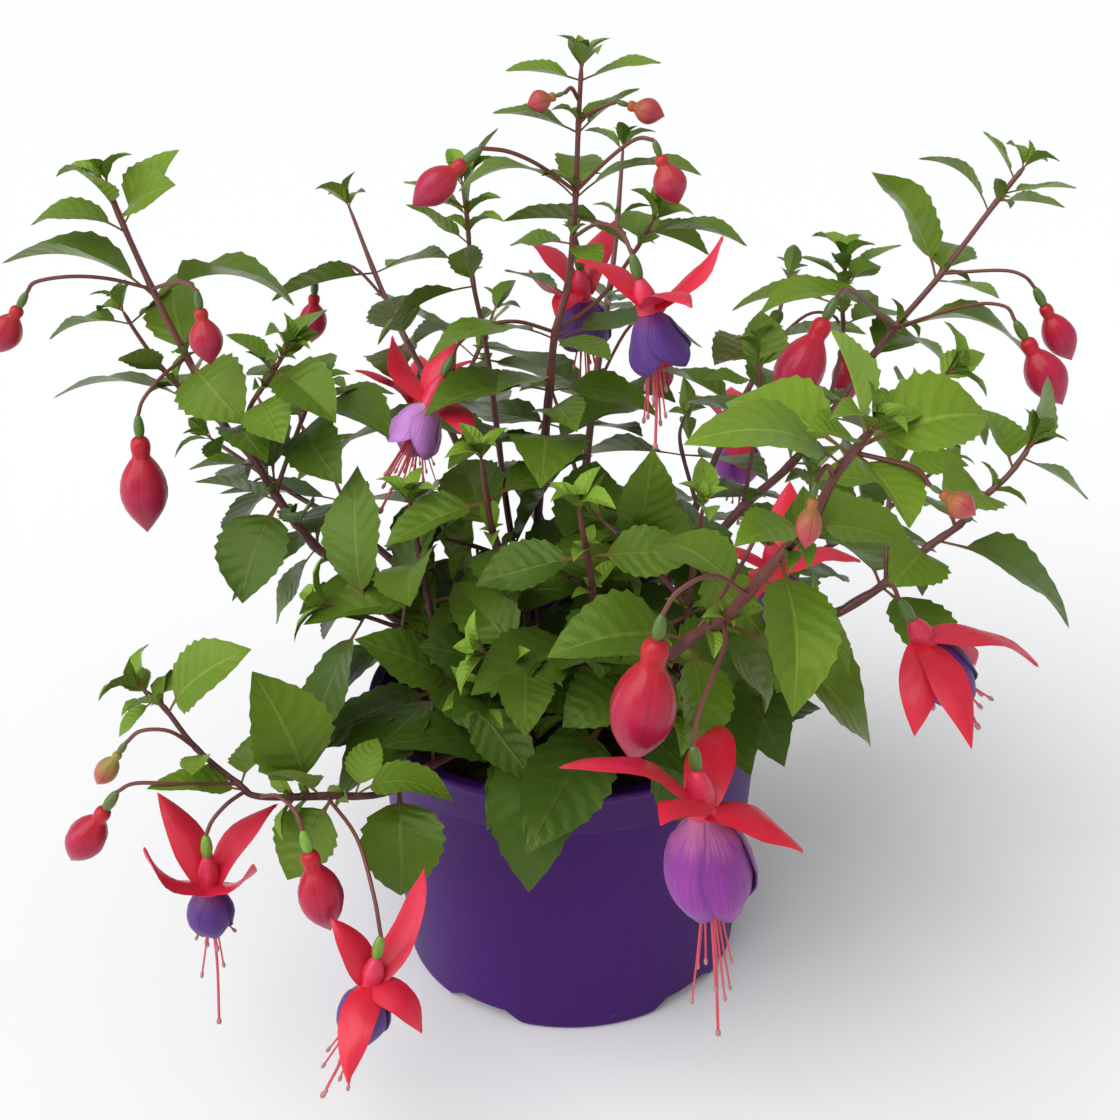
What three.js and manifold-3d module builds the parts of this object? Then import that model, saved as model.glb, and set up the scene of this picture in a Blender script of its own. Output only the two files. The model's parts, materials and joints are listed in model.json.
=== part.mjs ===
// A fuchsia in flower and bud, growing in a low plastic flower pot that stands on five feet.
// Millimetres, +Z up. The origin lies on the pot's axis, on the ground.
import * as THREE from "three";
import { mergeVertices } from "three/addons/utils/BufferGeometryUtils.js";
import Module from "manifold-3d";

const wasm = await Module();
wasm.setup();

// The pot
const POT_HEIGHT = 103.5;
const RIM_RADIUS = 70;
const RIM_BAND = 14.9;
const RIM_LINE = 3;
const LIP_WIDTH = 3.2;
const BODY_TOP_RADIUS = 67.2;
const BODY_FOOT_RADIUS = 61.2;
const WALL = 1.8;
const FLOOR_UNDERSIDE = 5.5;
const FOOT_RING_WIDTH = 4.2;
const FOOT_COUNT = 5;
const FOOT_GAP_MIDDLE = -49;
const FOOT_GAP_TOP = 18;
const FOOT_GAP_BOTTOM = 36.5;
const DRAIN_COUNT = 8;
const DRAIN_RADIUS = 4.5;
const DRAIN_CIRCLE = 40;
const POT_SIDES = 24;

// The soil
const SOIL_LEVEL = 94;
const SOIL_BUMP = 1.1;
const SOIL_SIDES = 18;
const HOLE_CLEARANCE = 0.45;

// Leaves
const LEAF_THICKNESS = 1.2;
const LEAF_RATIO = 0.46;
const LEAST_RATIO = 0.4;
const LEAF_LEAN = 0.45;
const LEAN_REACH = 45;
const LEAF_ARCH = 0.1;
const SMALL_LEAF = 30;
const SMALL_ARCH = 0.04;
const LEAF_ROLL = 14;
const LEAF_ROOT = 0.6;
const LEAF_ROOT_DEPTH = 0.35;
const NODE_SHIFT = 0.12;
const DEEP_ARCH = 0.15;
const LEAF_CLEARANCE = 0.35;
const WELD_REACH = 0.4;
const WELD_TURN = 0.5;

// Flowers
const OVARY_LENGTH = 7;
const OVARY_RADIUS = 2.2;
const GAP = 0.35;
const TUBE_LENGTH = 10;
const CUP_FLARE = 0.84;
const TUBE_RADIUS = 3.2;
const THROAT_RADIUS = 1.3;
const SEPAL_WIDTH = 11;
const SEPAL_THICKNESS = 1.3;
const SEPAL_ROOT = 1.7;
const SEPAL_ROOT_SIZE = 1;
const PETAL_THICKNESS = 0.9;
// One petal after another round the cup: [turn in degrees, share of the radius, share of the depth].
const PETAL_STEPS = [0, 90, 180, 270].flatMap((turn) => [
  [turn + 3, 1.08, 0.88], [turn + 45, 1, 1], [turn + 88, 0.92, 0.86],
]);
const STAMENS = 2;
const STAMEN_SPREAD = 0.16;
const FILAMENT_RADIUS = 0.4;
const ANTHER_RADIUS = 0.9;
const STIGMA_RADIUS = 1.1;

// Outlines of blades from root to tip: [share of the length, share of the width, extra half width].
const LEAF_OUTLINE = [[0.17, 0, 0.7], [0.42, 1, 0], [0.74, 0.66, 0]];
const PLAIN_OUTLINE = [[0.17, 0, 0.7], [0.5, 1, 0]];
const SEPAL_OUTLINE = [[0.1, 0.3, 0.6], [0.5, 1, 0]];

const GREEN = "#4a6f2a";
const DARK_GREEN = "#3f6a35";
const SCARLET = "#d8262f";
const BUD_RED = "#cf3f52";
const VIOLET = "#4f3a8c";
const MAGENTA = "#8a3f98";
const LILAC = "#a858ae";
const POT_PURPLE = "#45206b";
const SOIL_BROWN = "#2f241c";

// Woody shoots: the stem each one belongs to, its path from root to tip, and its radii there.
// A leaf is [place on the path by point number, tip x, y, z, width, roll, arch].
const SHOOTS = [
  {
    stem: "stem_middle",
    radius: [1.9, 0.7],
    path: [
      [-4, 8, 80], [-6, 7, 105], [-9, 5, 126], [-10, 2, 147], [-9, 0, 167], [-6, 0, 196],
      [-4, 0, 215], [-2, 0, 232], [2, 0, 246], [4, 0, 262], [5, 0, 276], [6, 0, 296], [7, 0, 312],
    ],
    leaves: [
      [11.9, -15, -5, 313, 7], [11.9, 30, -5, 315, 8],
      [11, -17, -8, 306, 7], [11, 24, 5, 306, 9],
      [10, -30, -18, 281, 13, 0, 0.2], [10, 42, -15, 285, 13, 0, 0.14],
      [9, -16, 5, 260, 12], [9, 12, -15, 258, 10],
      [8, -17, -12, 256, 11], [7, 48, 20, 222, 16],
      [7, -42, -22, 231, 17, 0, 0.15], [7, 15, -22, 231, 12],
      [6, 31, -12, 209, 15], [6, -43, -26, 215, 17],
      [6.2, -20, -22, 222, 13], [5, -35, -34, 209, 18],
      [5.6, 4, -36, 213, 14], [5, -7, -46, 199, 24, 0, 0.2],
      [5, 28, 22, 199, 18],
      [10, 8, 34, 281, 13],
    ],
  },
  {
    stem: "stem_middle",
    radius: [0.8, 0.6],
    path: [[-2, 0, 232], [12, 8, 240], [23, 10, 254], [29, 10, 264]],
    leaves: [
      [2.2, 3, 0, 271, 9, 0, 0.18], [2.8, 58, 0, 259, 13],
      [2.4, 26, 36, 262, 12],
    ],
  },
  {
    stem: "stem_slender",
    radius: [1.4, 0.6],
    path: [
      [-16, 22, 80], [-14, 19, 120], [-18, 16, 150], [-20, 15, 168], [-22, 20, 188],
      [-24, 25, 208], [-26, 28, 224], [-29, 30, 241], [-30, 30, 262], [-31, 30, 272],
    ],
    leaves: [
      [7.7, -49, 25, 268, 10], [8, -20, 35, 290, 9], [8.4, -51, 42, 272, 9],
      [7, -61, 14, 225, 15], [7, -31, 12, 258, 9], [6, -22, 2, 236, 18],
      [6, -52, 52, 214, 19], [4, -52, 28, 192, 20], [5, -42, 50, 196, 20],
    ],
  },
  {
    stem: "stem_left",
    radius: [2.1, 0.8],
    path: [
      [-26, -2, 80], [-32, -6, 108], [-42, -9, 124], [-56, -12, 136], [-68, -12, 148],
      [-76, -10, 158], [-83, -8, 163], [-95, -3, 179], [-101, 0, 190], [-111, 5, 201],
      [-122, 12, 222], [-131, 15, 244], [-139, 18, 267], [-142, 20, 277],
    ],
    leaves: [
      [11.9, -168, 18, 265, 13, -25, 0.16], [12, -119, 22, 287, 15, 45, 0.14],
      [12.1, -118, 6, 280, 17, 40], [12.3, -148, 10, 285, 16, -45],
      [11, -177, 12, 255, 13, 0, 0.16], [11, -82, 2, 244, 19, -12, 0.16],
      [10, -101, -12, 208, 22], [10, -131, 42, 243, 18],
      [8, -122, -5, 191, 11], [7, -118, -14, 190, 17],
      [7, -105, -28, 152, 23, -20], [6.5, -82, -22, 183, 12], [9, -116, 10, 186, 12],
      [5, -65, -38, 151, 20], [6, -98, -16, 138, 15], [4, -88, -22, 146, 15],
      [4, -46, -30, 157, 16], [9, -92, -25, 201, 14],
      [8, -112, 30, 172, 20], [6, -78, 32, 162, 22],
    ],
  },
  {
    stem: "stem_left",
    radius: [0.9, 0.6],
    path: [[-111, 5, 201], [-122, 14, 206], [-132, 18, 216], [-140, 22, 227], [-144, 24, 234]],
    leaves: [
      [3.6, -172, 28, 225, 9], [1, -168, 10, 213, 16, 0, 0.12], [2, -140, -2, 228, 12],
      [3.6, -128, 40, 240, 8], [1.5, -128, 44, 206, 18],
    ],
  },
  {
    stem: "stem_left",
    radius: [0.9, 0.6],
    path: [[-105, 1, 195], [-100, -4, 210], [-92, -6, 221], [-86, -8, 230]],
    leaves: [
      [2.6, -104, -6, 236, 9], [2.8, -74, 4, 240, 16], [2.4, -69, -28, 214, 17],
      [2, -98, 20, 218, 12], [1.5, -86, -27, 207, 15],
    ],
  },
  {
    stem: "stem_left",
    radius: [0.9, 0.6],
    path: [[-95, -3, 179], [-92, -2, 187], [-85, 5, 203], [-80, 6, 212]],
    leaves: [
      [2.8, -55, 12, 209, 11], [2.4, -54, -20, 202, 22, -10], [2, -70, -24, 192, 18],
      [2, -86, 36, 200, 18], [3, -78, 28, 218, 12],
    ],
  },
  {
    stem: "stem_right_tall",
    radius: [1.9, 0.8],
    path: [
      [22, 6, 80], [28, 4, 110], [36, 2, 132], [46, 2, 151], [61, 10, 166], [78, 20, 177],
      [94, 32, 192], [108, 42, 208], [116, 46, 217], [133, 56, 233], [152, 66, 255], [162, 71, 266],
    ],
    leaves: [
      [10, 127, 80, 269, 9, 0, 0.15], [10.2, 173, 55, 256, 13], [10.4, 182, 72, 259, 11],
      [10.8, 150, 82, 277, 9], [9, 108, 62, 269, 20, 20], [9, 149, 38, 230, 15],
      [8, 65, 30, 231, 16, 0, 0.16], [8, 168, 40, 204, 14, 0, 0.2], [8, 128, 22, 214, 15],
      [7, 132, 76, 204, 19], [9, 148, 92, 234, 17], [6, 84, 68, 186, 21], [6, 112, 4, 184, 20],
      [5, 98, -4, 170, 20], [4, 76, -20, 152, 20],
    ],
  },
  {
    stem: "stem_right_tall",
    radius: [0.9, 0.6],
    path: [[90, 29, 188], [98, 46, 210], [99, 56, 224], [100, 60, 236]],
    leaves: [
      [2.7, 84, 58, 240, 8, 0, 0.15], [2.8, 119, 60, 243, 11], [2, 59, 55, 224, 15],
      [1.6, 124, 66, 218, 14], [2.2, 88, 84, 226, 13], [2.6, 108, 40, 242, 9],
    ],
  },
  {
    stem: "stem_right_tall",
    radius: [0.9, 0.6],
    path: [[61, 10, 166], [64, 14, 186], [66, 20, 204], [66, 24, 214]],
    leaves: [
      [2.6, 67, 27, 230, 16, 60], [2.4, 46, 14, 211, 9], [2, 92, 6, 206, 18],
      [1.6, 42, 34, 196, 17], [2, 74, 48, 202, 16],
    ],
  },
  {
    stem: "stem_right_front",
    radius: [2.4, 1],
    path: [
      [8, -20, 80], [10, -32, 106], [14, -46, 122], [20, -62, 139], [28, -84, 161],
      [34, -98, 176], [41, -110, 188], [49, -125, 209], [58, -136, 229], [61, -141, 241],
      [67, -148, 255],
    ],
    leaves: [
      [9.4, 25, -155, 257, 19, 8, 0.14], [9.6, 38, -116, 252, 18], [10, 61, -130, 273, 18, 55],
      [9.8, 96, -140, 256, 19, 0, 0.12], [9.7, 74, -165, 240, 17, -30], [9.9, 52, -154, 258, 11],
      [8, 38, -148, 228, 12], [7.4, 52, -162, 190, 18, -14, 0.12], [8, 80, -144, 226, 17],
      [7, 72, -128, 181, 19, -20], [6, 83, -114, 150, 18], [5.6, 56, -106, 156, 16],
      [5, 36, -118, 152, 19, -16], [5, -6, -110, 178, 21, 0, 0.12], [7.6, 88, -112, 214, 20],
      [4, 50, -66, 150, 22], [3.4, -2, -84, 140, 20], [6.6, 24, -86, 200, 18],
      [3, 42, -40, 132, 20],
    ],
  },
  {
    stem: "stem_right_side",
    radius: [1.7, 0.8],
    path: [
      [28, -12, 80], [33, -16, 108], [48, -28, 130], [66, -42, 148], [83, -52, 158],
      [97, -52, 168], [110, -48, 178], [119, -46, 184], [125, -44, 191], [133, -42, 198],
      [139, -40, 206],
    ],
    leaves: [
      [6.4, 154, -60, 157, 24, -14], [6, 93, -75, 179, 19], [8.4, 109, -62, 200, 20],
      [9.8, 146, -33, 226, 19, 30], [9.8, 156, -50, 194, 13], [9.4, 128, -26, 214, 17],
      [7, 118, -8, 174, 22], [5, 112, -80, 150, 20], [5, 86, -14, 166, 22],
      [4, 62, -72, 142, 22], [3, 44, -64, 134, 20],
    ],
  },
  {
    stem: "stem_right_side",
    radius: [0.9, 0.6],
    path: [[97, -52, 168], [101, -30, 188], [110, -8, 210], [121, -6, 218]],
    leaves: [
      [2.8, 134, -2, 224, 11], [2.8, 132, -25, 202, 16], [2.2, 112, 16, 210, 13],
      [2, 98, -22, 216, 13], [1.4, 126, -26, 196, 16], [1.2, 78, -20, 190, 17],
    ],
  },
  {
    stem: "stem_left_trailing",
    radius: [1.5, 0.7],
    path: [
      [-16, -24, 80], [-22, -36, 101], [-32, -49, 109], [-44, -62, 111], [-57, -76, 111],
      [-73, -84, 116], [-92, -88, 119], [-98, -87, 123], [-110, -83, 133], [-119, -78, 144],
      [-125, -76, 149],
    ],
    leaves: [
      [9.6, -133, -82, 137, 7, 0, 0.2], [9, -91, -84, 168, 19, 30], [9.6, -108, -64, 151, 10],
      [8, -108, -98, 134, 9], [6.6, -122, -96, 130, 11], [5.4, -90, -82, 159, 24, 40],
      [5.2, -86, -101, 138, 13], [5, -85, -97, 95, 19, -20], [4.6, -34, -86, 116, 14, 0, 0.2],
      [3.8, -52, -92, 84, 23, -16, 0.2], [4.6, -59, -66, 125, 11], [7, -92, -62, 128, 15],
      [9.8, -134, -62, 149, 9], [3, -44, -40, 122, 16],
    ],
  },
  {
    stem: "stem_rim_front",
    radius: [1.4, 0.8],
    path: [[-4, -44, 80], [-8, -50, 102], [-12, -54, 115], [-15, -54, 128], [-16, -53, 142]],
    leaves: [
      [2, -13, -93, 84, 25, 4, 0.34], [2.4, -36, -86, 140, 23, 0, 0.16], [1.6, -58, -66, 122, 18],
      [3.4, -44, -66, 158, 26, -20, 0.12], [1.8, 14, -74, 118, 15], [1, 10, -62, 112, 13],
      [3.4, 16, -66, 150, 20], [4, -18, -86, 156, 20], [3.8, -34, -28, 152, 20],
    ],
  },
];

// Shoots whose leaves follow the growth rule only: [stem, radii, path, leaf spacing if closer].
const RULED_SHOOTS = [
  ["stem_back_left", [1.9, 0.7],
    [[-14, 36, 80], [-24, 50, 130], [-44, 74, 176], [-66, 100, 214], [-80, 118, 246]]],
  ["stem_back_left", [0.9, 0.6], [[-44, 74, 176], [-32, 96, 194], [-26, 116, 204]]],
  ["stem_back_middle", [1.9, 0.7],
    [[6, 34, 80], [6, 48, 136], [12, 66, 188], [20, 88, 232], [24, 104, 268]]],
  ["stem_back_middle", [0.9, 0.6], [[6, 54, 156], [0, 78, 172], [-4, 104, 176]]],
  ["stem_back_right", [1.8, 0.7],
    [[26, 28, 80], [40, 44, 124], [60, 72, 164], [80, 100, 192], [90, 122, 214]]],
  ["stem_back_right", [0.9, 0.6], [[50, 58, 145], [46, 90, 158], [50, 118, 158]]],
  ["stem_far_left", [1.7, 0.7],
    [[-30, 18, 80], [-44, 26, 116], [-72, 40, 142], [-102, 54, 156], [-130, 62, 174]]],
  ["stem_far_left", [0.9, 0.6], [[-72, 40, 142], [-84, 66, 148], [-92, 92, 150]]],
  ["stem_far_right", [1.7, 0.7],
    [[34, 10, 80], [50, 14, 112], [80, 24, 134], [110, 34, 148], [136, 40, 168]]],
  ["stem_far_right", [0.9, 0.6], [[80, 24, 134], [92, 52, 140], [96, 80, 146]]],
  ["stem_inner_left", [1.4, 0.8],
    [[-36, -22, 80], [-40, -30, 122], [-44, -34, 156], [-48, -32, 188]], 21],
  ["stem_inner_middle", [1.5, 0.8],
    [[-6, -8, 80], [-14, -20, 130], [-22, -28, 170], [-25, -36, 204]], 21],
  ["stem_inner_front", [1.5, 0.8],
    [[6, -38, 80], [4, -48, 120], [8, -58, 164], [4, -66, 200]], 21],
  ["stem_inner_right", [1.5, 0.8],
    [[30, -30, 80], [33, -40, 118], [37, -50, 160], [40, -58, 196]], 21],
  ["stem_inner_left", [0.9, 0.6], [[-42, -32, 139], [-60, -37, 150], [-74, -38, 156]], 17],
  ["stem_inner_left", [0.9, 0.6], [[-40, -30, 122], [-33, -50, 132], [-28, -66, 138]], 17],
  ["stem_inner_middle", [0.9, 0.6], [[-18, -24, 150], [-2, -30, 160], [12, -34, 166]], 17],
  ["stem_inner_middle", [0.9, 0.6], [[-14, -20, 130], [-30, -10, 141], [-44, 2, 148]], 17],
  ["stem_inner_front", [0.9, 0.6], [[6, -53, 142], [-9, -67, 151], [-23, -74, 158]], 17],
  ["stem_inner_front", [0.9, 0.6], [[4, -48, 120], [18, -63, 128], [30, -72, 136]], 17],
  ["stem_inner_right", [0.9, 0.6], [[35, -45, 139], [54, -46, 148], [70, -44, 154]], 17],
  ["stem_inner_right", [0.9, 0.6], [[37, -50, 160], [24, -40, 172], [12, -30, 180]], 17],
  ["stem_middle", [0.9, 0.6], [[-9, 5, 126], [8, 16, 138], [24, 22, 146]], 17],
  ["stem_middle", [0.9, 0.6], [[-10, 2, 147], [-26, -8, 160], [-38, -16, 168]], 17],
];
const NODE_SPACING = 38;
const RULED_LENGTH = [56, 37];
const RULED_CLIMB = 0.3;
const RULED_DROOP = 0.32;
const FIRST_NODE = 36;
const SEED = 7;

// Buds: [name, stem, pedicel from the stem to the ovary, tip of the bud, radius].
const BUDS = [
  ["bud_top_left", "stem_middle", [[6, 0, 303], [4, -5, 307], [2, -7, 306]], [-9, -9, 303], 3.3],
  ["bud_top_right", "stem_middle", [[6, 0, 296], [10, -3, 300], [17, -5, 303]], [31, -7, 299], 3.8],
  ["bud_middle_left", "stem_middle",
    [[5, 0, 276], [-5, -12, 286], [-14, -20, 292], [-22, -24, 294]], [-42, -28, 279], 5.2],
  ["bud_middle_right", "stem_middle",
    [[5, 0, 276], [14, -14, 288], [22, -20, 295], [27, -22, 295]], [34, -24, 277], 5],
  ["bud_far_left", "stem_left",
    [[-131, 15, 244], [-143, 10, 249], [-154, 6, 251], [-164, 4, 250], [-167, 3, 247]],
    [-180, 1, 228], 5.2],
  ["bud_left_upper", "stem_left",
    [[-131, 15, 244], [-122, 4, 249], [-115, -6, 252], [-111, -9, 250]], [-109, -11, 227], 5.2],
  ["bud_left_large", "stem_left",
    [[-122, 12, 222], [-128, 4, 219], [-134, -2, 213], [-136, -4, 208]], [-138, -6, 168], 7.7],
  ["bud_right_inner", "stem_right_tall",
    [[116, 46, 217], [101, 20, 233], [90, 5, 243], [85, -5, 243]], [68, -12, 209], 7.8],
  ["bud_far_right", "stem_right_tall",
    [[133, 56, 233], [151, 48, 236], [158, 44, 235], [162, 43, 231]], [178, 43, 205], 5.6],
  ["bud_right_outer", "stem_right_tall",
    [[116, 46, 217], [137, 34, 228], [147, 26, 230], [150, 22, 226]], [168, 18, 198], 6.8],
  ["bud_front_large", "stem_right_front",
    [[46, -120, 200], [36, -128, 210], [27, -132, 208], [23, -133, 202]], [16, -131, 158], 8.6],
  ["bud_cluster", "stem_right_front",
    [[61, -141, 241], [58, -148, 247], [55, -152, 245]], [53, -155, 230], 3],
  ["bud_right_front", "stem_right_front",
    [[64, -145, 249], [76, -152, 248], [80, -153, 244]], [90, -156, 238], 3.2],
  ["bud_trailing_end", "stem_left_trailing",
    [[-98, -87, 123], [-112, -94, 128], [-125, -96, 130], [-131, -96, 127]], [-148, -96, 103], 5.8],
  ["bud_trailing_young", "stem_left_trailing",
    [[-110, -83, 133], [-116, -86, 141], [-124, -87, 142], [-129, -87, 138]], [-140, -86, 123], 3.4],
  ["bud_trailing_large", "stem_left_trailing",
    [[-92, -88, 119], [-84, -98, 126], [-78, -105, 125], [-76, -108, 121]], [-71, -109, 86], 6.6],
  ["bud_back_left", "stem_back_left",
    [[-66, 100, 214], [-78, 104, 226], [-90, 108, 226], [-94, 110, 220]], [-98, 112, 194], 5.6],
  ["bud_back_middle", "stem_back_middle",
    [[12, 66, 188], [24, 86, 204], [34, 104, 206], [37, 110, 200]], [39, 114, 168], 6.8],
  ["bud_back_right", "stem_back_right",
    [[80, 100, 192], [94, 98, 206], [104, 96, 206], [107, 95, 200]], [112, 94, 172], 5.8],
];

// Flowers: name, stem, pedicel down to the ovary, the end of the petal cup and its radius, the
// end of the style, the four sepal tips with the arch of each, and the colour of the cup.
const FLOWERS = [
  {
    name: "flower_top", stem: "stem_middle", colour: VIOLET,
    pedicel: [[4, 0, 262], [11, -20, 271], [17, -34, 272], [20, -40, 267]],
    cup: [29, -42, 236], radius: 7.6, flare: 1.16, style: [27, -44, 211],
    sepals: [[4, -30, 263], [46, -36, 271, -0.1], [35, -66, 259], [31, -10, 240]],
  },
  {
    name: "flower_behind", stem: "stem_middle", colour: VIOLET,
    pedicel: [[3, 0, 254], [4, 12, 260], [5, 20, 257], [6, 22, 253]],
    cup: [8, 24, 219], radius: 8.4, style: [9, 24, 200],
    sepals: [[-11, 36, 252], [19, 42, 257], [-10, 12, 249, -0.1], [-2, 4, 236]],
  },
  {
    name: "flower_lilac", stem: "stem_middle", colour: LILAC,
    pedicel: [[-2, 0, 232], [-14, -4, 237], [-25, -6, 236], [-32, -6, 231], [-34, -6, 227]],
    cup: [-49, -14, 200], radius: 7.6, flare: 1.16, style: [-58, -22, 182],
    sepals: [[-53, -3, 233, -0.2], [-34, 7, 229], [-29, 10, 211], [-27, -28, 206]],
  },
  {
    name: "flower_front", stem: "stem_right_front", colour: MAGENTA,
    pedicel: [[41, -110, 188], [40, -121, 186], [36, -130, 182], [32, -136, 174], [31, -138, 167]],
    cup: [38, -140, 116], radius: 11, tube: 13, flare: 0.7, style: [40, -139, 73],
    sepals: [[-3, -154, 172], [42, -108, 154], [60, -142, 136, 0.12], [21, -163, 161]],
  },
  {
    name: "flower_trailing", stem: "stem_left_trailing", colour: VIOLET,
    pedicel: [[-96, -88, 121], [-100, -94, 121], [-104, -98, 118], [-106, -100, 114]],
    cup: [-108, -101, 79.8], radius: 6.3, tube: 12, flare: 0.7, style: [-110, -101, 45],
    sepals: [[-124, -82, 117], [-88, -82, 112], [-121, -110, 118, -0.14], [-89, -116, 116, -0.1]],
  },
  {
    name: "flower_low", stem: "stem_left_trailing", colour: VIOLET,
    pedicel: [[-73, -84, 116], [-62, -102, 114], [-56, -118, 106], [-54, -124, 96]],
    cup: [-62, -127, 63], radius: 7, style: [-74, -129, 42],
    sepals: [[-42, -110, 109, -0.1], [-69, -118, 98], [-43, -136, 71, 0.24], [-63, -148, 64.5, 0.2]],
  },
  {
    name: "flower_right", stem: "stem_right_side", colour: VIOLET,
    pedicel: [[83, -52, 158], [82, -72, 172], [83, -92, 186], [86, -102, 193], [88, -105, 190]],
    cup: [107, -104, 160], radius: 7, tube: 9, style: [113, -104, 150],
    sepals: [[128, -104, 168, 0.15], [104, -130, 159, 0.12], [91, -122, 158, 0.16], [117, -84, 157]],
  },
  {
    name: "flower_inner", stem: "stem_right_front", colour: VIOLET,
    pedicel: [[34, -98, 176], [46, -92, 192], [54, -84, 204], [55, -80, 202]],
    cup: [64, -78, 168], radius: 6.6, style: [68, -76, 154],
    sepals: [[32, -88, 196], [63, -70, 210, -0.1], [84, -74, 186], [50, -106, 192]],
  },
  {
    name: "flower_back", stem: "stem_back_left", colour: VIOLET,
    pedicel: [[-44, 74, 176], [-52, 96, 184], [-56, 116, 182], [-58, 124, 176]],
    cup: [-60, 130, 140], radius: 8.6, style: [-60, 131, 118],
    sepals: [[-84, 124, 178], [-36, 134, 178], [-60, 160, 172], [-64, 104, 152]],
  },
  {
    name: "flower_back_right", stem: "stem_back_right", colour: MAGENTA,
    pedicel: [[60, 72, 164], [68, 96, 170], [72, 120, 166], [73, 128, 160]],
    cup: [75, 134, 124], radius: 9, style: [76, 136, 102],
    sepals: [[48, 130, 164], [98, 136, 160], [74, 163, 154], [72, 108, 138]],
  },
];

const UP = new THREE.Vector3(0, 0, 1);
const point = (row) => new THREE.Vector3(row[0], row[1], row[2]);
const degrees = THREE.MathUtils.degToRad;

// A repeatable stream of numbers from 0 to 1.
function drawer(seed) {
  let state = seed;
  return () => {
    state = (state * 16807) % 2147483647;
    return state / 2147483647;
  };
}

function geometryOfPoints(points) {
  return new THREE.BufferGeometry().setFromPoints(points);
}

// A closed geometry as a solid, its shared corners merged and its empty triangles dropped.
function solidOf(geometry) {
  const bare = geometry.clone();
  bare.deleteAttribute("normal");
  bare.deleteAttribute("uv");
  const merged = mergeVertices(bare, 1e-4);
  const corners = merged.index.array;
  const kept = [];
  for (let i = 0; i < corners.length; i += 3) {
    const [a, b, c] = [corners[i], corners[i + 1], corners[i + 2]];
    if (a !== b && b !== c && a !== c) kept.push(a, b, c);
  }
  return solidOfSkin(merged.attributes.position.array, kept);
}

function solidOfSkin(vertProperties, corners) {
  return new wasm.Manifold(new wasm.Mesh({ numProp: 3, vertProperties, triVerts: new Uint32Array(corners) }));
}

// The outer body of what was fused: a sealed hollow is filled and a loose scrap dropped.
function oneBody(name, solid) {
  const bodies = solid.decompose().sort((a, b) => b.volume() - a.volume());
  const scrap = bodies.slice(1).find((body) => body.volume() > 4);
  if (scrap) {
    const { min, max } = scrap.boundingBox();
    throw new Error(name + " has a loose piece from " + min + " to " + max);
  }
  return bodies[0];
}

// What was fused, its slivers gone: the ends of each short edge become one, where no face turns over.
function welded(solid) {
  const { vertProperties, triVerts } = solid.getMesh();
  const place = (corner) => new THREE.Vector3().fromArray(vertProperties, 3 * corner);
  const facing = (face) => new THREE.Triangle(...face.map(place)).getNormal(new THREE.Vector3());
  const around = new Map();
  for (let i = 0; i < triVerts.length; i += 3) {
    const face = [...triVerts.slice(i, i + 3)];
    for (const corner of face) {
      if (!around.has(corner)) around.set(corner, new Set());
      around.get(corner).add(face);
    }
  }
  const neighbours = (corner) => new Set([...around.get(corner)].flat().filter((other) => other !== corner));
  const short = [];
  for (const corner of around.keys()) {
    for (const other of neighbours(corner)) {
      const length = place(corner).distanceTo(place(other));
      if (corner < other && length < WELD_REACH) short.push([length, corner, other]);
    }
  }
  for (const [, kept, gone] of short.sort((a, b) => a[0] - b[0])) {
    if (!around.has(kept) || !around.has(gone) || !neighbours(kept).has(gone)) continue;
    const beside = neighbours(kept);
    if ([...neighbours(gone)].filter((corner) => beside.has(corner)).length !== 2) continue;
    const moved = [...around.get(gone)].filter((face) => !face.includes(kept));
    const after = moved.map((face) => face.map((corner) => (corner === gone ? kept : corner)));
    if (moved.some((face, i) => facing(face).dot(facing(after[i])) < WELD_TURN)) continue;
    for (const face of around.get(gone)) {
      for (const corner of face) around.get(corner).delete(face);
    }
    for (const face of after) {
      for (const corner of face) around.get(corner).add(face);
    }
    around.delete(gone);
  }
  const faces = new Set([...around.values()].flatMap((own) => [...own]));
  return solidOfSkin(vertProperties, [...faces].flat());
}

function geometryOfSolid(solid) {
  const mesh = solid.getMesh();
  const geometry = new THREE.BufferGeometry();
  geometry.setAttribute("position", new THREE.BufferAttribute(mesh.vertProperties, 3));
  geometry.setIndex(new THREE.BufferAttribute(mesh.triVerts, 1));
  geometry.computeVertexNormals();
  return geometry;
}

const join = (solids) => solids.reduce((all, solid) => all.add(solid));

// A skin over rings of corners that run anticlockwise round the way ahead, closed at both ends.
function loft(rings) {
  const count = rings[0].length;
  const corners = [];
  for (let r = 0; r + 1 < rings.length; r++) {
    for (let i = 0; i < count; i++) {
      const j = (i + 1) % count;
      corners.push(rings[r][i], rings[r][j], rings[r + 1][j]);
      corners.push(rings[r][i], rings[r + 1][j], rings[r + 1][i]);
    }
  }
  const [first, last] = [rings[0], rings[rings.length - 1]];
  for (let i = 1; i + 1 < count; i++) {
    corners.push(first[0], first[i + 1], first[i], last[0], last[i], last[i + 1]);
  }
  return solidOf(geometryOfPoints(corners));
}

function ring(centre, across, over, radius, sides, lobe = 0) {
  return Array.from({ length: sides }, (_, i) => {
    const angle = (2 * Math.PI * i) / sides;
    const reach = radius * (1 - lobe * (i % 2));
    return centre
      .clone()
      .addScaledVector(across, reach * Math.cos(angle))
      .addScaledVector(over, reach * Math.sin(angle));
  });
}

// The middle line of a shoot: its path rounded into about the given number of straight runs.
function spine(rows, runs) {
  const gaps = rows.length - 1;
  const curve = new THREE.CatmullRomCurve3(rows.map(point), false, "catmullrom", 0.5);
  return curve.getPoints(gaps * Math.max(1, Math.round(runs / gaps)));
}

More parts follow.
